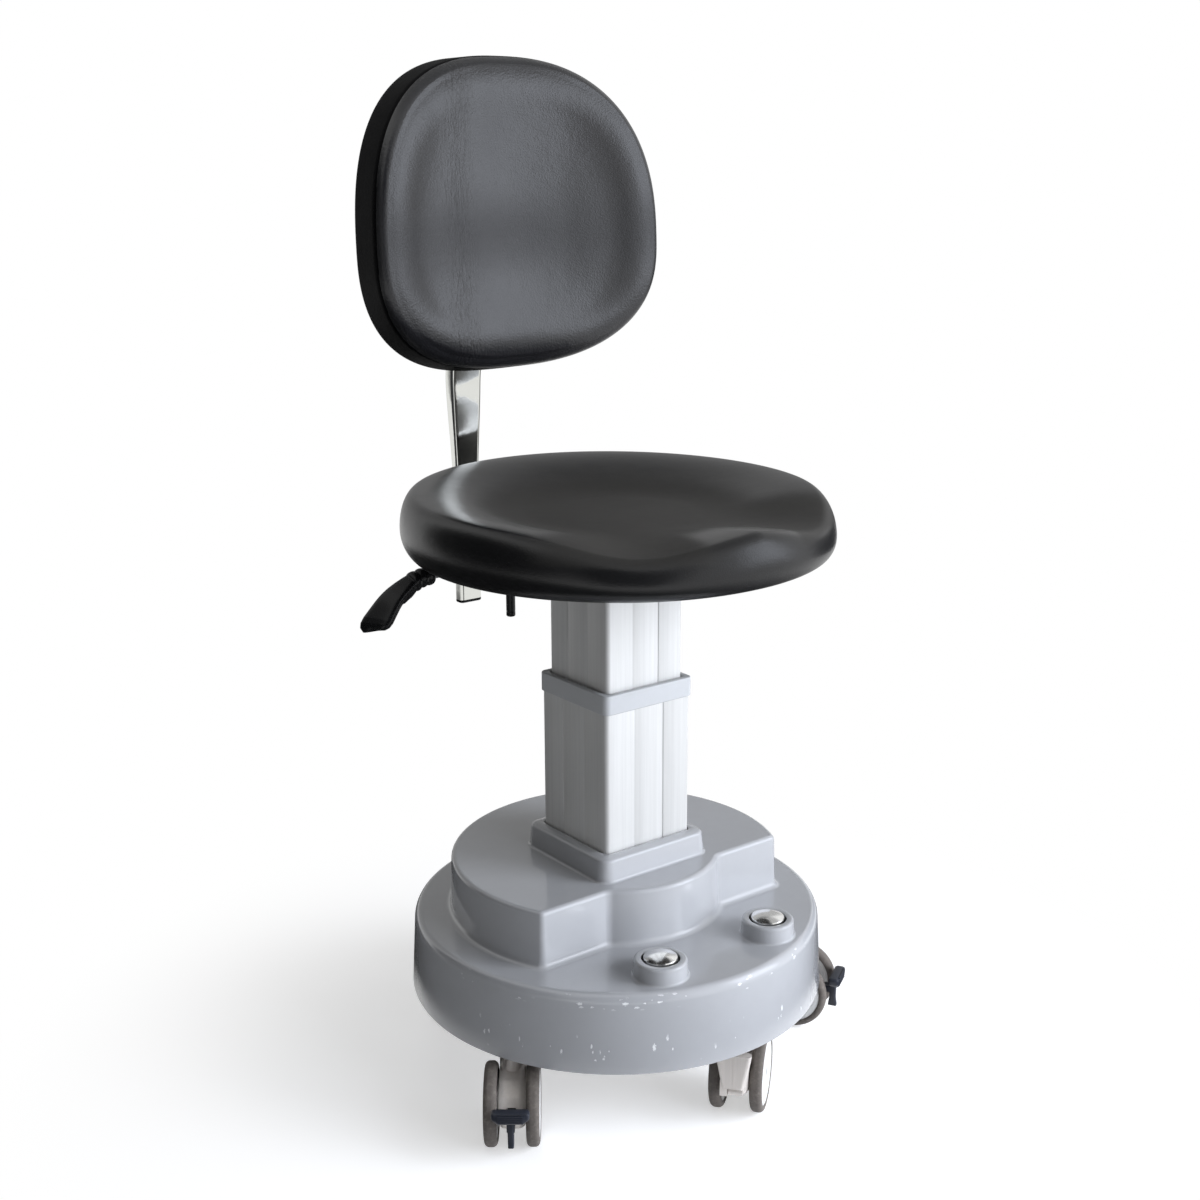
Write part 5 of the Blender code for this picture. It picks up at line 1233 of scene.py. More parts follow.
class STOOL_OT_backrest(bpy.types.Operator):
    """Mould the backrest pad and the shell behind it, and set its screws"""
    bl_idname = "stool.backrest"
    bl_label = "Backrest"

    def execute(self, context):
        pads = context.scene.stool_pads
        place = about(back_place(pads))
        rear = pads.back_thickness
        edge = pads.back_rear_edge
        pad = solid_skin(back_rings(pads)).piece("back_pad", look_of("back_vinyl"), 60.0, place)
        # The sides and rear take the darker side skin: painted shade by which way a face turns.
        pad.data.materials.append(look_of("back_side"))
        for face in pad.data.polygons:
            face.material_index = int(face.normal.y > BACK_SHADED_SIDE_FACING)
        wear(pad, "backrest", "back_vinyl", "back_cushion")

        near = rear + CLEARANCE
        far = near + SHELL_THICKNESS
        shares = pads.shell_share * np.linspace(REAR_INNERMOST, 1.0, REAR_ROWS)
        rings = [back_ring(pads, near, edge, edge, part) for part in shares]
        for turn in np.linspace(0.0, pi / 2.0, EDGE_ROWS):
            inset = edge + SHELL_EDGE * (1.0 - np.cos(turn))
            distance = far - SHELL_EDGE * (1.0 - np.sin(turn))
            rings.append(back_ring(pads, distance, inset, inset, pads.shell_share))
        inset = edge + SHELL_EDGE
        rings += [back_ring(pads, far, inset, inset, part) for part in shares[-2::-1]]
        shell = solid_skin(rings).piece("back_shell", look_of("black_plastic"), 45.0, place)
        wear(shell, "backrest", "black_plastic", "back_board")
        self.screws(context)
        return {"FINISHED"}

    def screws(self, context):
        """Socket screws at the corners of the bracket behind the backrest."""
        rig = context.scene.stool_rig
        lean = context.scene.stool_pads.back_lean
        low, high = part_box("back_bracket")
        half_height = (high.z - low.z) / 2.0
        rear = Vector((middle("back_bracket").x, high.y - half_height * tan(lean), middle("back_bracket").z))
        values = {"Width": high.x - low.x - 2.0 * rig.screw_inset,
                  "Depth": 2.0 * half_height - 2.0 * rig.screw_inset,
                  "Radius": rig.screw_radius, "Height": rig.screw_height, "Material": look_of("steel")}
        place = about(rear) @ Matrix.Rotation(-pi / 2.0 - lean, 4, "X")
        wear(from_tree("back_bracket_screws", screw_tree(), values, place), "backrest", "steel")


# Post

POST_ROWS = 90


class STOOL_OT_post(bpy.types.Operator):
    """Draw the chrome post that widens and bends in to the backrest"""
    bl_idname = "stool.post"
    bl_label = "Post"

    def execute(self, context):
        rig = context.scene.stool_rig
        foot = middle("post_end_cap")
        place = about((foot.x, foot.y, 0.0))
        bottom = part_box("post_end_cap")[0].z
        start = POST_LOW.z
        end = POST_HIGH.z
        straight_z = bottom + rig.post_straight
        rear_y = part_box("back_bracket")[1].y
        pads = context.scene.stool_pads
        back_z = back_place(pads).z
        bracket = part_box("back_bracket")
        lean = tan(pads.back_lean)
        half_height = (bracket[1].z - bracket[0].z) / 2.0
        top_y = rear_y - half_height * lean + CLEARANCE + rig.post_top_depth / 2.0
        rings = []
        for height in np.linspace(start, end, POST_ROWS):
            rise = height - straight_z
            flare = smooth_step(rise / rig.post_flare)
            width = rig.post_width + (rig.post_top_width - rig.post_width) * flare
            depth = rig.post_depth + (rig.post_top_depth - rig.post_depth) * flare
            bend = smooth_step((rise - rig.post_bend_start) / rig.post_bend)
            shift = (top_y + (height - back_z) * lean - foot.y) * bend
            outline = rounded_rectangle(width, depth, rig.post_corner)
            outline[:, 1] += shift
            rings.append(ring(outline, 0.0, height))
        post = solid_skin(rings).piece("back_post_bar", look_of("chrome"), 30.0, place)
        wear(post, "backrest", "chrome", "back_post")

        low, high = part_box("post_end_cap")
        outline = rounded_rectangle(rig.post_width, rig.post_depth, rig.post_corner)
        rings = [ring(outline, -0.0016, low.z), ring(outline, -0.0006, low.z + 0.0004),
                 ring(outline, 0.0, low.z + 0.0014), ring(outline, 0.0, high.z)]
        cap = solid_skin(rings).piece("post_end_plug", look_of("black_plastic"), 50.0, place)
        wear(cap, "backrest", "black_plastic", "post_end_cap")
        return {"FINISHED"}


# Lever and clamp

GRIP_ROWS = 120
GRIP_POINTS = 40
GRIP_POWER = 3.0
GRIP_ROLL = 27.0
GRIP_OVERHANG = 0.004
GRIP_HOOK_START = 0.34
GRIP_HOOK_LENGTH = 0.36
GRIP_SKEW_START = 0.45
GRIP_RIBS = 3.0
GRIP_RIB_POWER = 0.6
GRIP_SHARES = (0.0, 0.22, 0.30, 0.45, 0.66, 0.86, 0.93, 0.975, 1.0)
GRIP_WIDTHS = (0.0150, 0.0150, 0.0176, 0.0206, 0.0256, 0.0290, 0.0280, 0.0236, 0.0140)
GRIP_DEPTHS = (0.0150, 0.0150, 0.0140, 0.0118, 0.0108, 0.0102, 0.0094, 0.0074, 0.0044)
GRIP_TAB_START = 0.24
GRIP_TAB_RISE = 0.12
GRIP_TAB_END = 0.52
GRIP_TAB_FALL = 0.06
CLAMP_RADIUS = 0.0047
CLAMP_END = 0.0016
CLAMP_GROOVE_RISES = (0.0046, 0.0050, 0.0056, 0.0060)
CLAMP_GROOVE_DEPTH = 0.0004
CLAMP_LEDGE = 0.009
CLAMP_STUD = 0.003


class STOOL_OT_lever(bpy.types.Operator):
    """Mould the paddle lever with its ribbed neck, and the clamp handle"""
    bl_idname = "stool.lever"
    bl_label = "Lever and clamp"

    def execute(self, context):
        rig = context.scene.stool_rig
        low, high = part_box("lever_grip")
        hinge = joint_place("lever_lift")
        parts = np.linspace(0.0, 1.0, GRIP_ROWS)
        span = high.x - low.x - GRIP_OVERHANG
        neck = smooth_step(parts * span / rig.grip_neck)
        hook = smooth_step((parts - GRIP_HOOK_START) / GRIP_HOOK_LENGTH)
        bends = neck * rig.grip_droop + hook * rig.grip_hook
        reach = span / np.mean(np.cos(bends))
        step = reach / (GRIP_ROWS - 1)
        centre_x = high.x - step * (np.cumsum(np.cos(bends)) - 1.0)
        centre_z = hinge.z - step * np.cumsum(np.sin(bends))
        turn = np.linspace(0.0, tau, GRIP_POINTS, endpoint=False)
        roll = radians(GRIP_ROLL)
        rings = []
        for part, round_off, bend, x, z in zip(parts, neck, bends, centre_x, centre_z):
            along = part * reach
            ribs = 0.0
            if along < rig.grip_neck:
                ribs = rig.grip_rib * np.abs(np.sin(GRIP_RIBS * pi * along / rig.grip_neck)) ** GRIP_RIB_POWER
            half_wide = np.interp(part, GRIP_SHARES, GRIP_WIDTHS) / 2.0 + ribs
            half_thick = np.interp(part, GRIP_SHARES, GRIP_DEPTHS) / 2.0 + ribs
            power = 2.0 / (2.0 + (GRIP_POWER - 2.0) * round_off)
            flat = np.sign(np.cos(turn)) * np.abs(np.cos(turn)) ** power * half_wide
            rise = np.sign(np.sin(turn)) * np.abs(np.sin(turn)) ** power * half_thick
            tab = rig.grip_tab * smooth_step((part - GRIP_TAB_START) / GRIP_TAB_RISE)
            tab = tab * smooth_step((GRIP_TAB_END - part) / GRIP_TAB_FALL)
            rise = np.where(rise < 0.0, rise * (1.0 + tab / half_thick), rise)
            side = flat * cos(roll) - rise * np.sin(roll)
            up = flat * np.sin(roll) + rise * cos(roll)
            skewed = smooth_step((part - GRIP_SKEW_START) / (1.0 - GRIP_SKEW_START))
            short = rig.grip_skew * skewed * (0.5 - 0.5 * flat / half_wide)
            rings.append(np.column_stack([x + short * cos(bend) - up * np.sin(bend), hinge.y + side,
                                          z + short * np.sin(bend) + up * cos(bend)]))
        grip = solid_skin(rings).piece("lever_paddle", look_of("black_plastic"), 45.0)
        wear(grip, "lever", "black_plastic", "lever_grip")

        low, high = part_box("clamp_screw")
        place = middle("clamp_screw")
        shoulder = size("clamp_screw").x / 2.0
        handle = CLAMP_RADIUS
        groove = handle - CLAMP_GROOVE_DEPTH
        profile = [(0.0, low.z)]
        profile += quarter((handle - CLAMP_END, low.z + CLAMP_END), CLAMP_END, CLAMP_END, -pi / 2.0, 0.0, 6)
        for radius, rise in zip((handle, groove, groove, handle), CLAMP_GROOVE_RISES):
            profile.append((radius, low.z + rise))
        ledge = high.z - CLAMP_LEDGE
        profile += [(handle, ledge - 0.0040), (shoulder - 0.0008, ledge - 0.0030), (shoulder, ledge - 0.0022)]
        profile += [(shoulder, ledge), (CLAMP_STUD, ledge), (CLAMP_STUD, high.z), (0.0, high.z)]
        clamp = turned(profile, SMALL_STEPS).piece("clamp_handle", look_of("black_plastic"), 35.0,
                                                   about((place.x, place.y, 0.0)))
        wear(clamp, "clamp", "black_plastic", "clamp_screw")
        return {"FINISHED"}


# Casters: local X runs along the axle, local Y towards the pedal, and the swivel axis is at the origin

TYRE_STEPS = 112
WHEEL_INNER = 0.0129
WHEEL_OUTER = 0.0249
HOUSING_HALF = 0.0125
HOUSING_CORNER = 0.0080
NOSE_REACH = 0.003
NECK_TRAIL = 0.006
NECK_FLANGE = 0.0140
NECK_FLANGE_HEIGHT = 0.007
PLATE_SEAT = 0.002
STEM_RADIUS = 0.0055
STEM_LENGTH = 0.016
HOOD_ROWS = 16
HOOD_HALF = 0.0165
HOOD_TAPER = 0.0062
HOOD_TAPER_POWER = 1.15
HOOD_DEPTH = 0.009
HOOD_CORNER = 0.0040
HOOD_LEAD = 0.0060
SEAM_HALF = 0.0002
AXLE_HOLE = 0.0045
ARCH_PLACE = 0.0072
ARCH_RADIUS = 0.0046


def caster_frame(number):
    """Matrix of a caster's own axes, its trail and its wheel's radius."""
    swivel = joint_place(f"caster_{number}_swivel")
    axle = middle(f"caster_{number}_axle")
    back = Vector((axle.x - swivel.x, axle.y - swivel.y, 0.0))
    trail = back.length
    along = back / trail
    across = Vector((along.y, -along.x, 0.0))
    matrix = Matrix((
        (across.x, along.x, 0.0, swivel.x),
        (across.y, along.y, 0.0, swivel.y),
        (0.0, 0.0, 1.0, 0.0),
        (0.0, 0.0, 0.0, 1.0)))
    return matrix, trail, axle.z


def rounded_polygon(points, radius, steps=6):
    """A closed polygon with arcs at its corners, as rows of two coordinates and the outward normal."""
    corners = np.array(points)
    around = np.roll(corners, -1, 0)
    turning = np.sign(np.sum(corners[:, 0] * around[:, 1] - corners[:, 1] * around[:, 0]))
    rows = []
    for index, here in enumerate(corners):
        before = here - corners[index - 1]
        after = corners[(index + 1) % len(corners)] - here
        shortest = min(np.linalg.norm(before), np.linalg.norm(after))
        before = before / np.linalg.norm(before)
        after = after / np.linalg.norm(after)
        bend = atan2(before[0] * after[1] - before[1] * after[0], before @ after)
        reach = min(radius * abs(tan(bend / 2.0)), 0.45 * shortest)
        bow = reach / abs(tan(bend / 2.0))
        side = np.sign(bend) * np.array([-before[1], before[0]])
        centre = here - reach * before + bow * side
        for t in np.linspace(0.0, bend, steps):
            out = np.array([-side[0] * cos(t) + side[1] * np.sin(t), -side[0] * np.sin(t) - side[1] * cos(t)])
            rows.append(np.concatenate([centre + bow * out, out * np.sign(bend) * turning]))
    return np.array(rows)


def block(low, high):
    """A plain box as a joining or cutting tool."""
    base = [(low[0], low[1]), (high[0], low[1]), (high[0], high[1]), (low[0], high[1])]
    rings = [[(x, y, z) for x, y in base] for z in (low[2], high[2])]
    return solid_skin(rings).piece("block", look_of("nickel"))


def across_solid(outline, half, edge):
    """A Skin of a side outline carried across X with round edges."""
    rings = []
    turn = np.linspace(0.0, pi / 2.0, ROUND_STEPS + 1)
    levels = [(-half + edge * (1.0 - np.cos(t)), edge * (1.0 - np.sin(t))) for t in turn]
    levels += [(-x, inset) for x, inset in levels[::-1]]
    for x, inset in levels:
        flat = outline[:, :2] - inset * outline[:, 2:]
        rings.append(np.column_stack([np.full(len(flat), x), flat]))
    return solid_skin(rings)


def upright(place, radius, low, high):
    """A plain upright cylinder as a joining or cutting tool."""
    profile = [(0.0, low), (radius, low), (radius, high), (0.0, high)]
    return turned(profile, SMALL_STEPS).piece("upright", look_of("nickel"), 40.0, about((0.0, place, 0.0)))


def lying(place, turn_axis, radius, reach):
    """A plain cylinder along X or Y as a joining or cutting tool."""
    profile = [(0.0, -reach), (radius, -reach), (radius, reach), (0.0, reach)]
    turn = about(place) @ Matrix.Rotation(pi / 2.0, 4, turn_axis)
    return turned(profile, SMALL_STEPS).piece("lying", look_of("nickel"), 40.0, turn)


def housing_outline(trail, radius, lead, nose):
    """Side of the housing as (along, height) corners, from the nose's top under the axle and back."""
    ahead = [(nose, 2.0 * radius - 0.004), (nose, radius - 0.005), (lead + 0.010, radius - 0.008)]
    under = [(-0.0100, -0.0175), (0.0120, -0.0190), (0.0205, -0.0100), (0.0215, 0.0035)]
    over = [(0.0130, 0.0140), (-0.0010, 0.0225), (-0.0130, 0.0265)]
    round_axle = [(trail + along, radius + rise) for along, rise in under + over]
    return rounded_polygon(ahead + round_axle + [(lead + 0.006, radius + 0.0275)], HOUSING_CORNER)


def neck_profile(rig, crown, top):
    """Neck, flange and stem of a fork as (radius, height) points."""
    neck = rig.neck_radius
    shoulder = top - NECK_FLANGE_HEIGHT
    profile = [(0.0, crown - 0.010), (neck, crown - 0.010)]
    profile += [(neck, shoulder - 0.0012), (neck + 0.0012, shoulder)]
    profile += [(NECK_FLANGE - 0.001, shoulder), (NECK_FLANGE, shoulder + 0.001), (NECK_FLANGE, top)]
    return profile + [(STEM_RADIUS, top), (STEM_RADIUS, top + STEM_LENGTH), (0.0, top + STEM_LENGTH)]


def hood_piece(lead, top, foot):
    """Tapered hood ahead of the wheels."""
    rings = []
    for part in np.linspace(0.0, 1.0, HOOD_ROWS):
        half = HOOD_HALF - HOOD_TAPER * part ** HOOD_TAPER_POWER
        outline = rounded_rectangle(2.0 * half, HOOD_DEPTH, HOOD_CORNER, 8)
        outline[:, 1] += lead - HOOD_LEAD
        rings.append(ring(outline, 0.0, top + (foot - top) * part))
    return solid_skin(rings).piece("hood", look_of("nickel"), 40.0)


def fork_piece(name, rig, trail, radius, matrix):
    """Fork: neck, barrel-shaped housing round the axle and a tapered hood ahead of the wheels."""
    nickel = look_of("nickel")
    crown = 2.0 * radius
    lead = trail - radius
    nose = lead - NOSE_REACH
    outline = housing_outline(trail, radius, lead, nose)
    body = across_solid(outline, HOUSING_HALF, rig.fork_edge).piece(name, nickel, 40.0)
    combine(body, upright(NECK_TRAIL, rig.neck_radius - 0.0003, radius + 0.016, crown + 0.004), "UNION")
    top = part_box("base_plate")[0].z + PLATE_SEAT - CLEARANCE
    combine(body, turned(neck_profile(rig, crown, top), SMALL_STEPS).piece("neck", nickel, 35.0), "UNION")
    hood_top = crown + 0.002
    hood_foot = radius + 0.006
    combine(body, hood_piece(lead, hood_top, hood_foot), "UNION")
    latch = block((-0.0121, nose - 0.0045, radius - 0.0035), (-0.0052, nose + 0.004, radius + 0.012))
    combine(body, latch, "UNION")
    combine(body, lying((0.0025, nose - 0.0006, radius + 0.0008), "Y", 0.0040, 0.0062), "UNION")
    combine(body, lying((0.0, trail, radius), "Y", AXLE_HOLE, 0.02), "DIFFERENCE")
    slot_low = (-0.0042, trail + 0.0110, radius - 0.0055)
    combine(body, block(slot_low, (0.0042, trail + 0.05, radius + 0.0070)), "DIFFERENCE")
    seam_low = (-SEAM_HALF, lead - 0.0120, hood_foot - 0.001)
    combine(body, block(seam_low, (SEAM_HALF, lead - 0.0102, hood_top + 0.001)), "DIFFERENCE")
    for across in (-ARCH_PLACE, ARCH_PLACE):
        arch = lying((across, trail + 0.005, radius - 0.0215), "X", ARCH_RADIUS, 0.03)
        combine(body, arch, "DIFFERENCE")
    body.data.transform(matrix)
    return body


def wheel_pieces(name, side, rig, radius, place):
    """Tyre, and the pale core with its domed cover, about the axle."""
    inner = WHEEL_INNER
    outer = WHEEL_OUTER
    crown = rig.wheel_crown
    seat = radius - rig.tread
    tyre = [(seat, inner + 0.0010), (seat + 0.0008, inner + 0.0002)]
    tyre += quarter((radius - crown, inner + crown), crown, crown, -pi / 2.0, 0.0)
    tyre += quarter((radius - crown, outer - crown), crown, crown, 0.0, pi / 2.0)
    tyre += [(seat + 0.0008, outer - 0.0002), (seat, outer - 0.0010)]
    bore = size(f"{name}_axle").z / 2.0 + 0.0004
    core = [(bore, inner), (0.0105, inner), (0.0120, inner + 0.0008), (0.0135, inner + 0.0030),
            (seat - 0.0045, inner + 0.0034), (seat - 0.0025, inner + 0.0016), (seat - 0.0002, inner + 0.0012)]
    core += [(seat - 0.0002, outer - 0.0012), (seat - 0.0020, outer - 0.0004),
             (seat - 0.0100, outer - 0.0001), (0.0080, outer), (0.0068, outer - 0.0004),
             (bore, outer - 0.0006)]
    flip = Matrix.Rotation(side * pi / 2.0, 4, "Y")
    word = "left" if side < 0.0 else "right"
    rubber = turned(tyre, TYRE_STEPS).piece(f"{name}_tyre_{word}", look_of("tyre"), 40.0, place @ flip)
    disc = turned(core, TYRE_STEPS).piece(f"{name}_core_{word}", look_of("wheel_cover"), 30.0, place @ flip)
    wear(rubber, f"{name}_{word}", "tyre", f"{name}_wheel_{word}")
    wear(disc, f"{name}_{word}", "glide_plastic")


PEDAL_MIDDLE = 0.0135
PEDAL_HALF_HEIGHT = 0.0057
PEDAL_HALF_WIDTH = 0.0170
PEDAL_CORNER = 0.0034
PEDAL_DEPTH = 0.010
PEDAL_ROWS = ((0.0, 0.0012), (0.12, 0.0003), (0.3, 0.0), (0.75, 0.0), (0.92, 0.0007), (1.0, 0.0020))
PEDAL_ARM_HALF = 0.0036
FIN_ROWS = 12
FIN_WIDTH = 0.0064
FIN_TAPER = 0.0010
FIN_FLARE = 0.0022
FIN_FLARE_START = 0.72
FIN_CORNER = 0.0014
FIN_LENGTH = 0.031
RIDGE_PITCH = 0.0021
RIDGE_LENGTH = 0.022
RIDGE_RISE = 0.0012


def pedal_piece(name, trail, radius, matrix):
    """Lock pedal: arm out of the housing, bowl-shaped pad behind the wheels and a fin below."""
    plastic = look_of("pedal_plastic")
    pad_y = trail + radius + 0.001
    middle_z = radius + PEDAL_MIDDLE
    tall = PEDAL_HALF_HEIGHT
    wide = PEDAL_HALF_WIDTH
    right = [(0.0110, -tall), (wide - 0.0002, -0.2 * tall), (wide, tall)]
    outline = rounded_polygon([(-x, z) for x, z in right[::-1]] + right, PEDAL_CORNER)
    rings = []
    for part, inset in PEDAL_ROWS:
        flat = outline[:, :2] - inset * outline[:, 2:]
        along = np.full(len(flat), pad_y + PEDAL_DEPTH * part)
        rings.append(np.column_stack([flat[:, 0], along, flat[:, 1] + middle_z]))
    pad = solid_skin(rings).piece(name, plastic, 45.0)
    arm = block((-PEDAL_ARM_HALF, trail + 0.0150, radius - 0.0025),
                (PEDAL_ARM_HALF, pad_y + 0.004, radius + 0.0045))
    combine(pad, arm, "UNION")
    rings = []
    for part in np.linspace(0.0, 1.0, FIN_ROWS):
        flare = FIN_FLARE * smooth_step((part - FIN_FLARE_START) / (1.0 - FIN_FLARE_START))
        section = rounded_rectangle(FIN_WIDTH - FIN_TAPER * part, FIN_WIDTH + flare, FIN_CORNER, 5)
        section[:, 1] += pad_y + 0.0012
        rings.append(ring(section, 0.0, middle_z - FIN_LENGTH * part))
    combine(pad, solid_skin(rings).piece("fin", plastic, 40.0), "UNION")
    pad.data.transform(matrix)
    return pad


def geometry_tree(name, lengths):
    """An empty Geometry Nodes tree with lengths and a material as inputs, its graph and its two ends."""
    tree = bpy.data.node_groups.new(name, "GeometryNodeTree")
    for label in lengths:
        tree.interface.new_socket(label, in_out="INPUT", socket_type="NodeSocketFloat")
    tree.interface.new_socket("Material", in_out="INPUT", socket_type="NodeSocketMaterial")
    tree.interface.new_socket("Geometry", in_out="OUTPUT", socket_type="NodeSocketGeometry")
    return tree, Graph(tree), tree.nodes.new("NodeGroupInput").outputs, tree.nodes.new("NodeGroupOutput")


def finish_tree(tree, graph, points, instance, start, end):
    """Set an instance on points, make it plain, give it its material and hand it out."""
    copies = graph.node("GeometryNodeInstanceOnPoints", {"Points": points, "Instance": instance}).outputs[0]
    plain = graph.node("GeometryNodeRealizeInstances", {"Geometry": copies}).outputs[0]
    done = graph.node("GeometryNodeSetMaterial", {"Geometry": plain, "Material": start["Material"]})
    tree.links.new(done.outputs[0], end.inputs["Geometry"])


SOCKET_SHARE = 0.55


def screw_tree():
    """Geometry Nodes: four socket screws at the corners of a rectangle, with their heads along Z."""
    tree, graph, start, end = geometry_tree("socket screws", ("Width", "Depth", "Radius", "Height"))
    corners = graph.node("GeometryNodeMeshGrid", {"Size X": start["Width"], "Size Y": start["Depth"],
                                                  "Vertices X": 2, "Vertices Y": 2}).outputs[0]
    head = graph.node("GeometryNodeMeshCylinder", {"Vertices": 40, "Radius": start["Radius"],
                                                   "Depth": start["Height"]}).outputs[0]
    key = graph.maths("MULTIPLY", start["Radius"], SOCKET_SHARE)
    socket = graph.node("GeometryNodeMeshCylinder", {"Vertices": 6, "Depth": start["Height"], "Radius": key})
    half = graph.node("ShaderNodeCombineXYZ", {"Z": graph.maths("MULTIPLY", start["Height"], 0.5)}).outputs[0]
    raised = graph.node("GeometryNodeTransform", {"Geometry": socket.outputs[0], "Translation": half})
    meshes = {"Mesh 1": head, "Mesh 2": raised.outputs[0]}
    cut = graph.node("GeometryNodeMeshBoolean", meshes, operation="DIFFERENCE")
    standing = graph.node("GeometryNodeTransform", {"Geometry": cut.outputs[0], "Translation": half})
    finish_tree(tree, graph, corners, standing.outputs[0], start, end)
    return tree


def ridge_tree():
    """Geometry Nodes: round ridges of one length, side by side across a pedal's face."""
    tree, graph, start, end = geometry_tree("pedal ridges", ("Count", "Pitch", "Length", "Radius"))
    step = graph.node("ShaderNodeCombineXYZ", {"Z": start["Pitch"]}).outputs[0]
    line = graph.node("GeometryNodeMeshLine", {"Count": start["Count"], "Offset": step}, mode="OFFSET")
    half = graph.maths("MULTIPLY", start["Length"], 0.5)
    left = graph.node("ShaderNodeCombineXYZ", {"X": graph.maths("MULTIPLY", half, -1.0)}).outputs[0]
    right = graph.node("ShaderNodeCombineXYZ", {"X": half}).outputs[0]
    spine = graph.node("GeometryNodeCurvePrimitiveLine", {"Start": left, "End": right}).outputs[0]
    section = graph.node("GeometryNodeCurvePrimitiveCircle", {"Resolution": 8, "Radius": start["Radius"]})
    curves = {"Curve": spine, "Profile Curve": section.outputs[0], "Fill Caps": True}
    bar = graph.node("GeometryNodeCurveToMesh", curves)
    finish_tree(tree, graph, line.outputs[0], bar.outputs[0], start, end)
    return tree


def from_tree(name, tree, values, place):
    """A plain mesh made by a Geometry Nodes tree with its inputs set, in its place."""
    made = bpy.data.objects.new(name, bpy.data.meshes.new(name))
    bpy.context.scene.collection.objects.link(made)
    modifier = made.modifiers.new("tree", "NODES")
    modifier.node_group = tree
    for socket in tree.interface.items_tree:
        if socket.in_out == "INPUT" and socket.name in values:
            modifier[socket.identifier] = values[socket.name]
    freeze(made)
    made.data.transform(place)
    return made


class STOOL_OT_casters(bpy.types.Operator):
    """Make the five casters with forks, tyres, wheel covers and lock pedals"""
    bl_idname = "stool.casters"
    bl_label = "Casters"

    def execute(self, context):
        rig = context.scene.stool_rig
        ridges = ridge_tree()
        for number in CASTER_NUMBERS:
            name = f"caster_{number}"
            matrix, trail, radius = caster_frame(number)
            wear(fork_piece(f"{name}_housing", rig, trail, radius, matrix), name, "nickel", f"{name}_fork")
            place = matrix @ about((0.0, trail, radius))
            for side in (-1.0, 1.0):
                wheel_pieces(name, side, rig, radius, place)
            pedal = pedal_piece(f"{name}_lock", trail, radius, matrix)
            wear(pedal, f"{name}_lock", "pedal_plastic", f"{name}_pedal")
            lowest = radius + PEDAL_MIDDLE + RIDGE_RISE - RIDGE_PITCH * (rig.ridge_count - 1) / 2.0
            values = {"Count": rig.ridge_count, "Pitch": RIDGE_PITCH, "Length": RIDGE_LENGTH,
                      "Radius": rig.ridge_radius, "Material": look_of("pedal_plastic")}
            face = matrix @ about((0.0, trail + radius + 0.011, lowest))
            bars = from_tree(f"{name}_ridges", ridges, values, face)
            wear(bars, f"{name}_lock", "pedal_plastic")
        return {"FINISHED"}


# Everything that keeps its CAD shape

class STOOL_OT_carried_nodes(bpy.types.Operator):
    """Give the remaining pieces of the part their finishes"""
    bl_idname = "stool.carried_nodes"
    bl_label = "Carried pieces"

    def execute(self, context):
        for subpart in frame["record"]["subparts"]:
            node = frame["nodes"][subpart["node"]]
            if node.hide_render:
                continue
            node.data.materials.clear()
            node.data.materials.append(look_of(subpart["material_slot"]))
        return {"FINISHED"}


# Stage: places are from the column's foot

WAIST = Vector((0.0, 0.0, 0.6))
SHIN = Vector((0.0, 0.0, 0.4))
KEY_PLACE = Vector((1.64, -1.89, 1.20))
KEY_SIZE = (1.3, 1.9)
FILL_PLACE = Vector((0.9, -2.3, 1.0))
FILL_SIZE = (2.2, 1.6)
TOP_PLACE = Vector((0.2, 0.5, 2.4))
TOP_SIZE = (1.8, 1.8)
FLOOR_REACH = 12.0
FLOOR_GLOW = 0.46
FLOOR_FADE = (0.20, 0.62)
FLAG_EDGE = (0.5, 0.3)
FLAG_HOLE = (0.24, 0.30)
FLAG_LIFT = 0.004
HALF_DARK = ("flag_rear", "flag_above")


def area_light(name, place, target, width, depth, power):
    """A soft rectangular lamp that points at a place."""
    lamp = bpy.data.lights.new(name, "AREA")
    lamp.shape = "RECTANGLE"
    lamp.size = width
    lamp.size_y = depth
    lamp.energy = power
    made = bpy.data.objects.new(name, lamp)
    bpy.context.scene.collection.objects.link(made)
    made.location = place
    made.rotation_euler = (Vector(target) - Vector(place)).to_track_quat("-Z", "Y").to_euler()
    return made


def card_skin(half_width, half_depth):
    """A Skin of one flat rectangle about the origin."""
    skin = Skin()
    skin.faces.append(tuple(skin.ring([(-half_width, -half_depth, 0.0), (half_width, -half_depth, 0.0),
                                       (half_width, half_depth, 0.0), (-half_width, half_depth, 0.0)])))
    return skin


def seen_directly(graph):
    """1 for camera, glossy and transmission rays, and 0 for the light that falls on the stool."""
    path = graph.node("ShaderNodeLightPath").outputs
    shown = graph.maths("MAXIMUM", path["Is Camera Ray"], path["Is Glossy Ray"])
    return graph.maths("MAXIMUM", shown, path["Is Transmission Ray"])


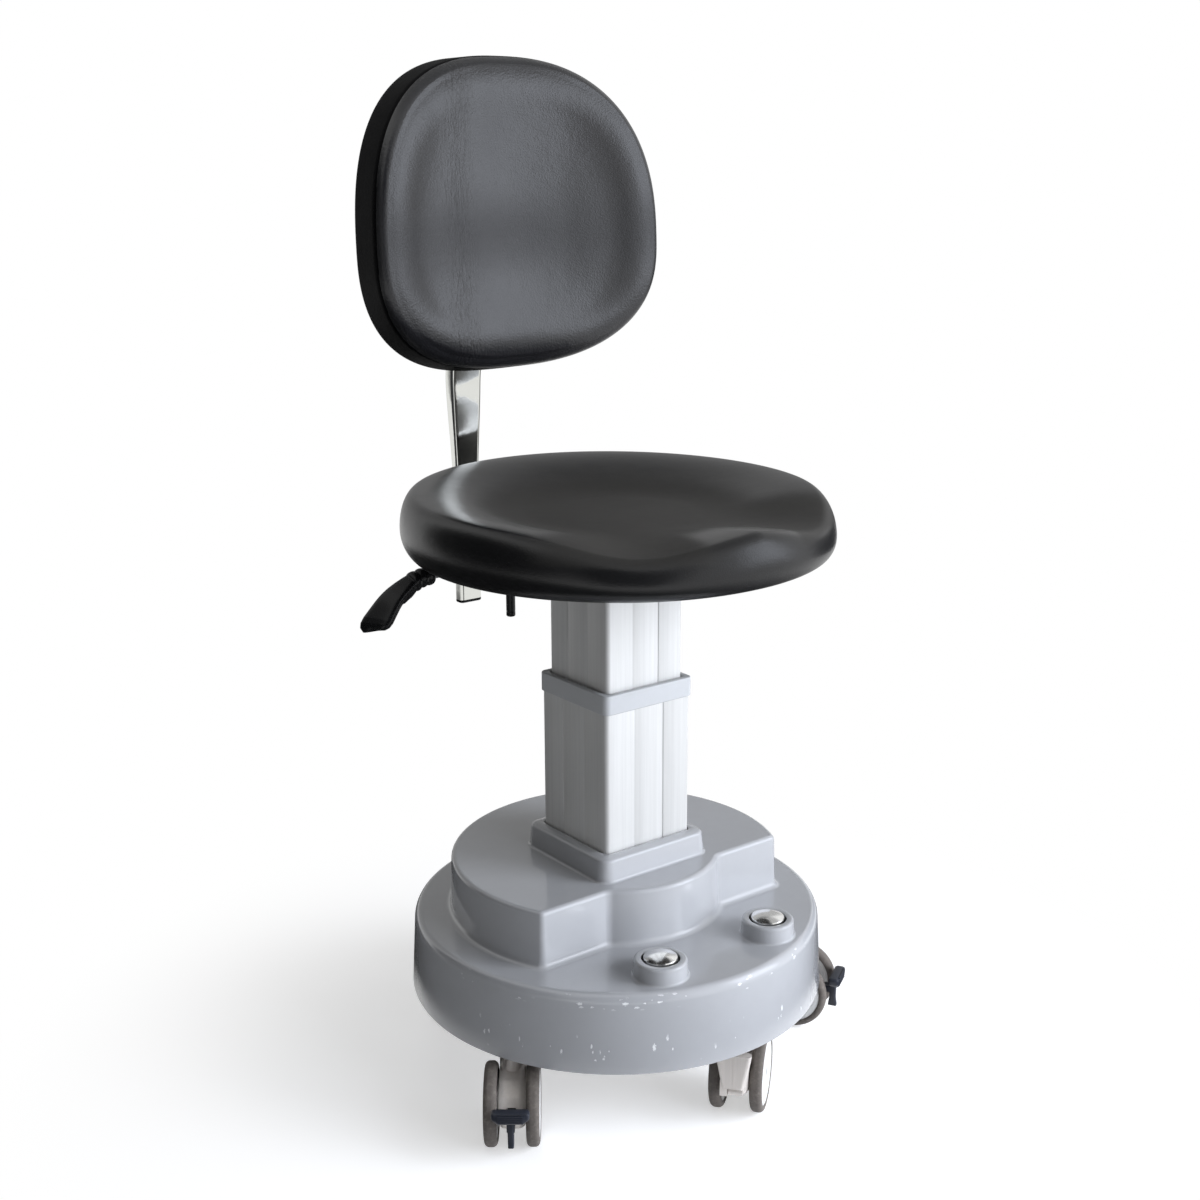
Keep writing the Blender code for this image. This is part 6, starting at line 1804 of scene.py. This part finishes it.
class STOOL_OT_stage(bpy.types.Operator):
    """Set the camera, the pale floor and the soft studio light"""
    bl_idname = "stool.stage"
    bl_label = "Stage"

    def execute(self, context):
        stage = context.scene.stool_stage
        foot = Vector((AXIS.x, AXIS.y, 0.0))
        ahead = Vector(stage.camera_ahead).normalized()
        up = Vector(stage.camera_up).normalized()
        right = ahead.cross(up).normalized()
        place = foot + Vector(stage.camera_from)
        camera = bpy.data.objects.new("camera", bpy.data.cameras.new("camera"))
        context.scene.collection.objects.link(camera)
        camera.matrix_world = Matrix((
            (right.x, up.x, -ahead.x, place.x),
            (right.y, up.y, -ahead.y, place.y),
            (right.z, up.z, -ahead.z, place.z),
            (0.0, 0.0, 0.0, 1.0)))
        camera.data.lens = stage.lens
        camera.data.sensor_width = 36.0
        context.scene.camera = camera

        world = bpy.data.worlds.new("studio")
        context.scene.world = world
        world.use_nodes = True
        graph = Graph(world.node_tree)
        background = world.node_tree.nodes["Background"]
        background.inputs["Color"].default_value = (1.0, 1.0, 1.0, 1.0)
        strength = graph.span(seen_directly(graph), 0.0, 1.0, stage.ambient, 1.0)
        world.node_tree.links.new(strength, background.inputs["Strength"])

        key = area_light("key", foot + KEY_PLACE, foot + WAIST, *KEY_SIZE, stage.key)
        fill = area_light("fill", foot + FILL_PLACE, foot + SHIN, *FILL_SIZE, stage.fill)
        top = area_light("top", foot + TOP_PLACE, foot + SHIN, *TOP_SIZE, stage.top)
        for lamp in (key, fill):
            lamp.data.color = stage.key_tint
        for lamp in (key, fill, top):
            lamp.visible_glossy = False
        self.mirrored(key, stage)

        floor = card_skin(FLOOR_REACH, FLOOR_REACH)
        floor.piece("floor", self.floor_finish(context))
        self.flags(context, foot)
        context.scene.view_settings.view_transform = "Standard"
        return {"FINISHED"}

    def floor_finish(self, context):
        """Pale floor that reads as white and keeps a soft shadow."""
        material = bpy.data.materials.new("floor")
        material.use_nodes = True
        graph = Graph(material.node_tree)
        nodes = material.node_tree.nodes
        nodes.remove(nodes["Principled BSDF"])
        pale = (*context.scene.stool_colours.floor, 1.0)
        white = (1.0, 1.0, 1.0, 1.0)
        matt = graph.node("ShaderNodeBsdfDiffuse", {"Color": pale}).outputs[0]
        lift = graph.node("ShaderNodeEmission", {"Color": white, "Strength": FLOOR_GLOW}).outputs[0]
        near = graph.node("ShaderNodeAddShader", {0: matt, 1: lift}).outputs[0]
        far = graph.node("ShaderNodeEmission", {"Color": white, "Strength": 1.0}).outputs[0]
        place = graph.node("ShaderNodeTexCoord").outputs["Object"]
        fade = graph.span(graph.distance(place, (AXIS.x, AXIS.y, 0.0)), *FLOOR_FADE)
        backdrop = graph.node("ShaderNodeMixShader", {0: fade, 1: near, 2: far}).outputs[0]
        shown = graph.node("ShaderNodeMixShader", {0: seen_directly(graph), 1: matt, 2: backdrop}).outputs[0]
        material.node_tree.links.new(shown, nodes["Material Output"].inputs["Surface"])
        return material

    def mirrored(self, lamp, stage):
        """Card in a lamp's place that shows the lamp, dimmed, to reflections."""
        width = lamp.data.size / 2.0
        depth = lamp.data.size_y / 2.0
        power = lamp.data.energy / (4.0 * pi * width * depth)
        material = bpy.data.materials.new(f"{lamp.name} card")
        material.use_nodes = True
        material.cycles.emission_sampling = "NONE"
        graph = Graph(material.node_tree)
        nodes = material.node_tree.nodes
        nodes.remove(nodes["Principled BSDF"])
        tint = (*stage.key_tint, 1.0)
        glow = graph.node("ShaderNodeEmission", {"Color": tint, "Strength": stage.sheen * power})
        material.node_tree.links.new(glow.outputs[0], nodes["Material Output"].inputs["Surface"])
        place = Matrix.LocRotScale(lamp.location, lamp.rotation_euler, None)
        card = card_skin(width, depth).piece(f"{lamp.name}_card", material, 30.0, place)
        self.for_reflections(card)

    def for_reflections(self, card):
        """Let only reflections see a card."""
        card.visible_camera = False
        card.visible_diffuse = False
        card.visible_shadow = False
        card.visible_transmission = False

    def flag_finish(self, context, name, dark):
        """Dark card with a soft edge and a hole round the stool, see-through to a share."""
        material = bpy.data.materials.new(name)
        material.use_nodes = True
        graph = Graph(material.node_tree)
        shader = material.node_tree.nodes["Principled BSDF"]
        shader.inputs["Base Color"].default_value = (*context.scene.stool_stage.flag, 1.0)
        shader.inputs["Roughness"].default_value = 1.0
        places = graph.node("ShaderNodeTexCoord").outputs
        from_middle = graph.distance(places["UV"], (0.5, 0.5, 0.0))
        from_stool = graph.distance(places["Object"], (AXIS.x, AXIS.y, 0.0))
        shown = graph.maths("MULTIPLY", graph.span(from_middle, *FLAG_EDGE, 0.0, dark),
                            graph.span(from_stool, *FLAG_HOLE))
        hidden = graph.node("ShaderNodeBsdfTransparent").outputs[0]
        mixed = graph.node("ShaderNodeMixShader", {0: shown, 1: hidden, 2: shader.outputs[0]}).outputs[0]
        material.node_tree.links.new(mixed, material.node_tree.nodes["Material Output"].inputs["Surface"])
        return material

    def flags(self, context, foot):
        """Soft-edged dark cards round the stool, above it and on the floor that only reflections see."""
        full = self.flag_finish(context, "flag", 1.0)
        half = self.flag_finish(context, "half flag", 0.5)
        lift = FLAG_LIFT
        corners = {
            "flag_left": [(-1.9, -1.9, -0.8), (-1.9, 4.2, -0.8), (-1.9, 4.2, 2.6), (-1.9, -1.9, 2.6)],
            "flag_behind": [(-2.0, -0.9, -0.8), (-0.2, -3.0, -0.8), (-0.2, -3.0, 3.6), (-2.0, -0.9, 3.6)],
            "flag_floor": [(-1.9, -1.0, lift), (1.2, -1.0, lift), (1.2, 2.1, lift), (-1.9, 2.1, lift)],
            "flag_above": [(-1.5, -2.0, 3.0), (3.0, -2.0, 3.0), (3.0, 3.0, 3.0), (-1.5, 3.0, 3.0)],
            "flag_right": [(2.2, -0.7, -0.9), (2.2, 1.2, -0.9), (2.2, 1.2, 1.2), (2.2, -0.7, 1.2)],
            "flag_rear": [(-2.2, 3.4, -1.4), (7.0, 3.4, -1.4), (7.0, 3.4, 7.0), (-2.2, 3.4, 7.0)],
        }
        for name, places in corners.items():
            skin = Skin()
            skin.faces.append(tuple(skin.ring(places)))
            card = skin.piece(name, half if name in HALF_DARK else full, 30.0, about(foot))
            layer = card.data.uv_layers.new(name="UVMap")
            for loop in card.data.loops:
                corner = places[loop.vertex_index]
                layer.data[loop.index].uv = [float(corner == places[1] or corner == places[2]),
                                             float(corner == places[2] or corner == places[3])]
            self.for_reflections(card)


# Panel and registration

class STOOL_PT_pieces(bpy.types.Panel):
    """Lists the stool's pieces"""
    bl_label = "Surgeon stool"
    bl_idname = "STOOL_PT_pieces"
    bl_space_type = "VIEW_3D"
    bl_region_type = "UI"
    bl_category = "Stool"

    def draw(self, context):
        for operator in OPERATORS:
            self.layout.operator(operator.bl_idname)


GROUPS = {
    "stool_cover": StoolCoverSizes,
    "stool_pads": StoolPadSizes,
    "stool_rig": StoolRigSizes,
    "stool_colours": StoolColours,
    "stool_stage": StoolStage,
}
OPERATORS = (
    STOOL_OT_base_cover, STOOL_OT_foot_buttons, STOOL_OT_column, STOOL_OT_seat, STOOL_OT_backrest,
    STOOL_OT_post, STOOL_OT_lever, STOOL_OT_casters, STOOL_OT_carried_nodes, STOOL_OT_stage,
)


def register():
    """Register the settings, the operators and the panel."""
    for name, group in GROUPS.items():
        bpy.utils.register_class(group)
        setattr(bpy.types.Scene, name, bpy.props.PointerProperty(type=group))
    for operator in OPERATORS:
        bpy.utils.register_class(operator)
    bpy.utils.register_class(STOOL_PT_pieces)


def unregister():
    """Take back what register added."""
    bpy.utils.unregister_class(STOOL_PT_pieces)
    for operator in reversed(OPERATORS):
        bpy.utils.unregister_class(operator)
    for name, group in GROUPS.items():
        delattr(bpy.types.Scene, name)
        bpy.utils.unregister_class(group)


def main():
    """Build every piece."""
    register()
    bpy.ops.stool.base_cover()
    bpy.ops.stool.foot_buttons()
    bpy.ops.stool.column()
    bpy.ops.stool.seat()
    bpy.ops.stool.backrest()
    bpy.ops.stool.post()
    bpy.ops.stool.lever()
    bpy.ops.stool.casters()
    bpy.ops.stool.carried_nodes()
    bpy.ops.stool.stage()


if __name__ == "__main__":
    main()
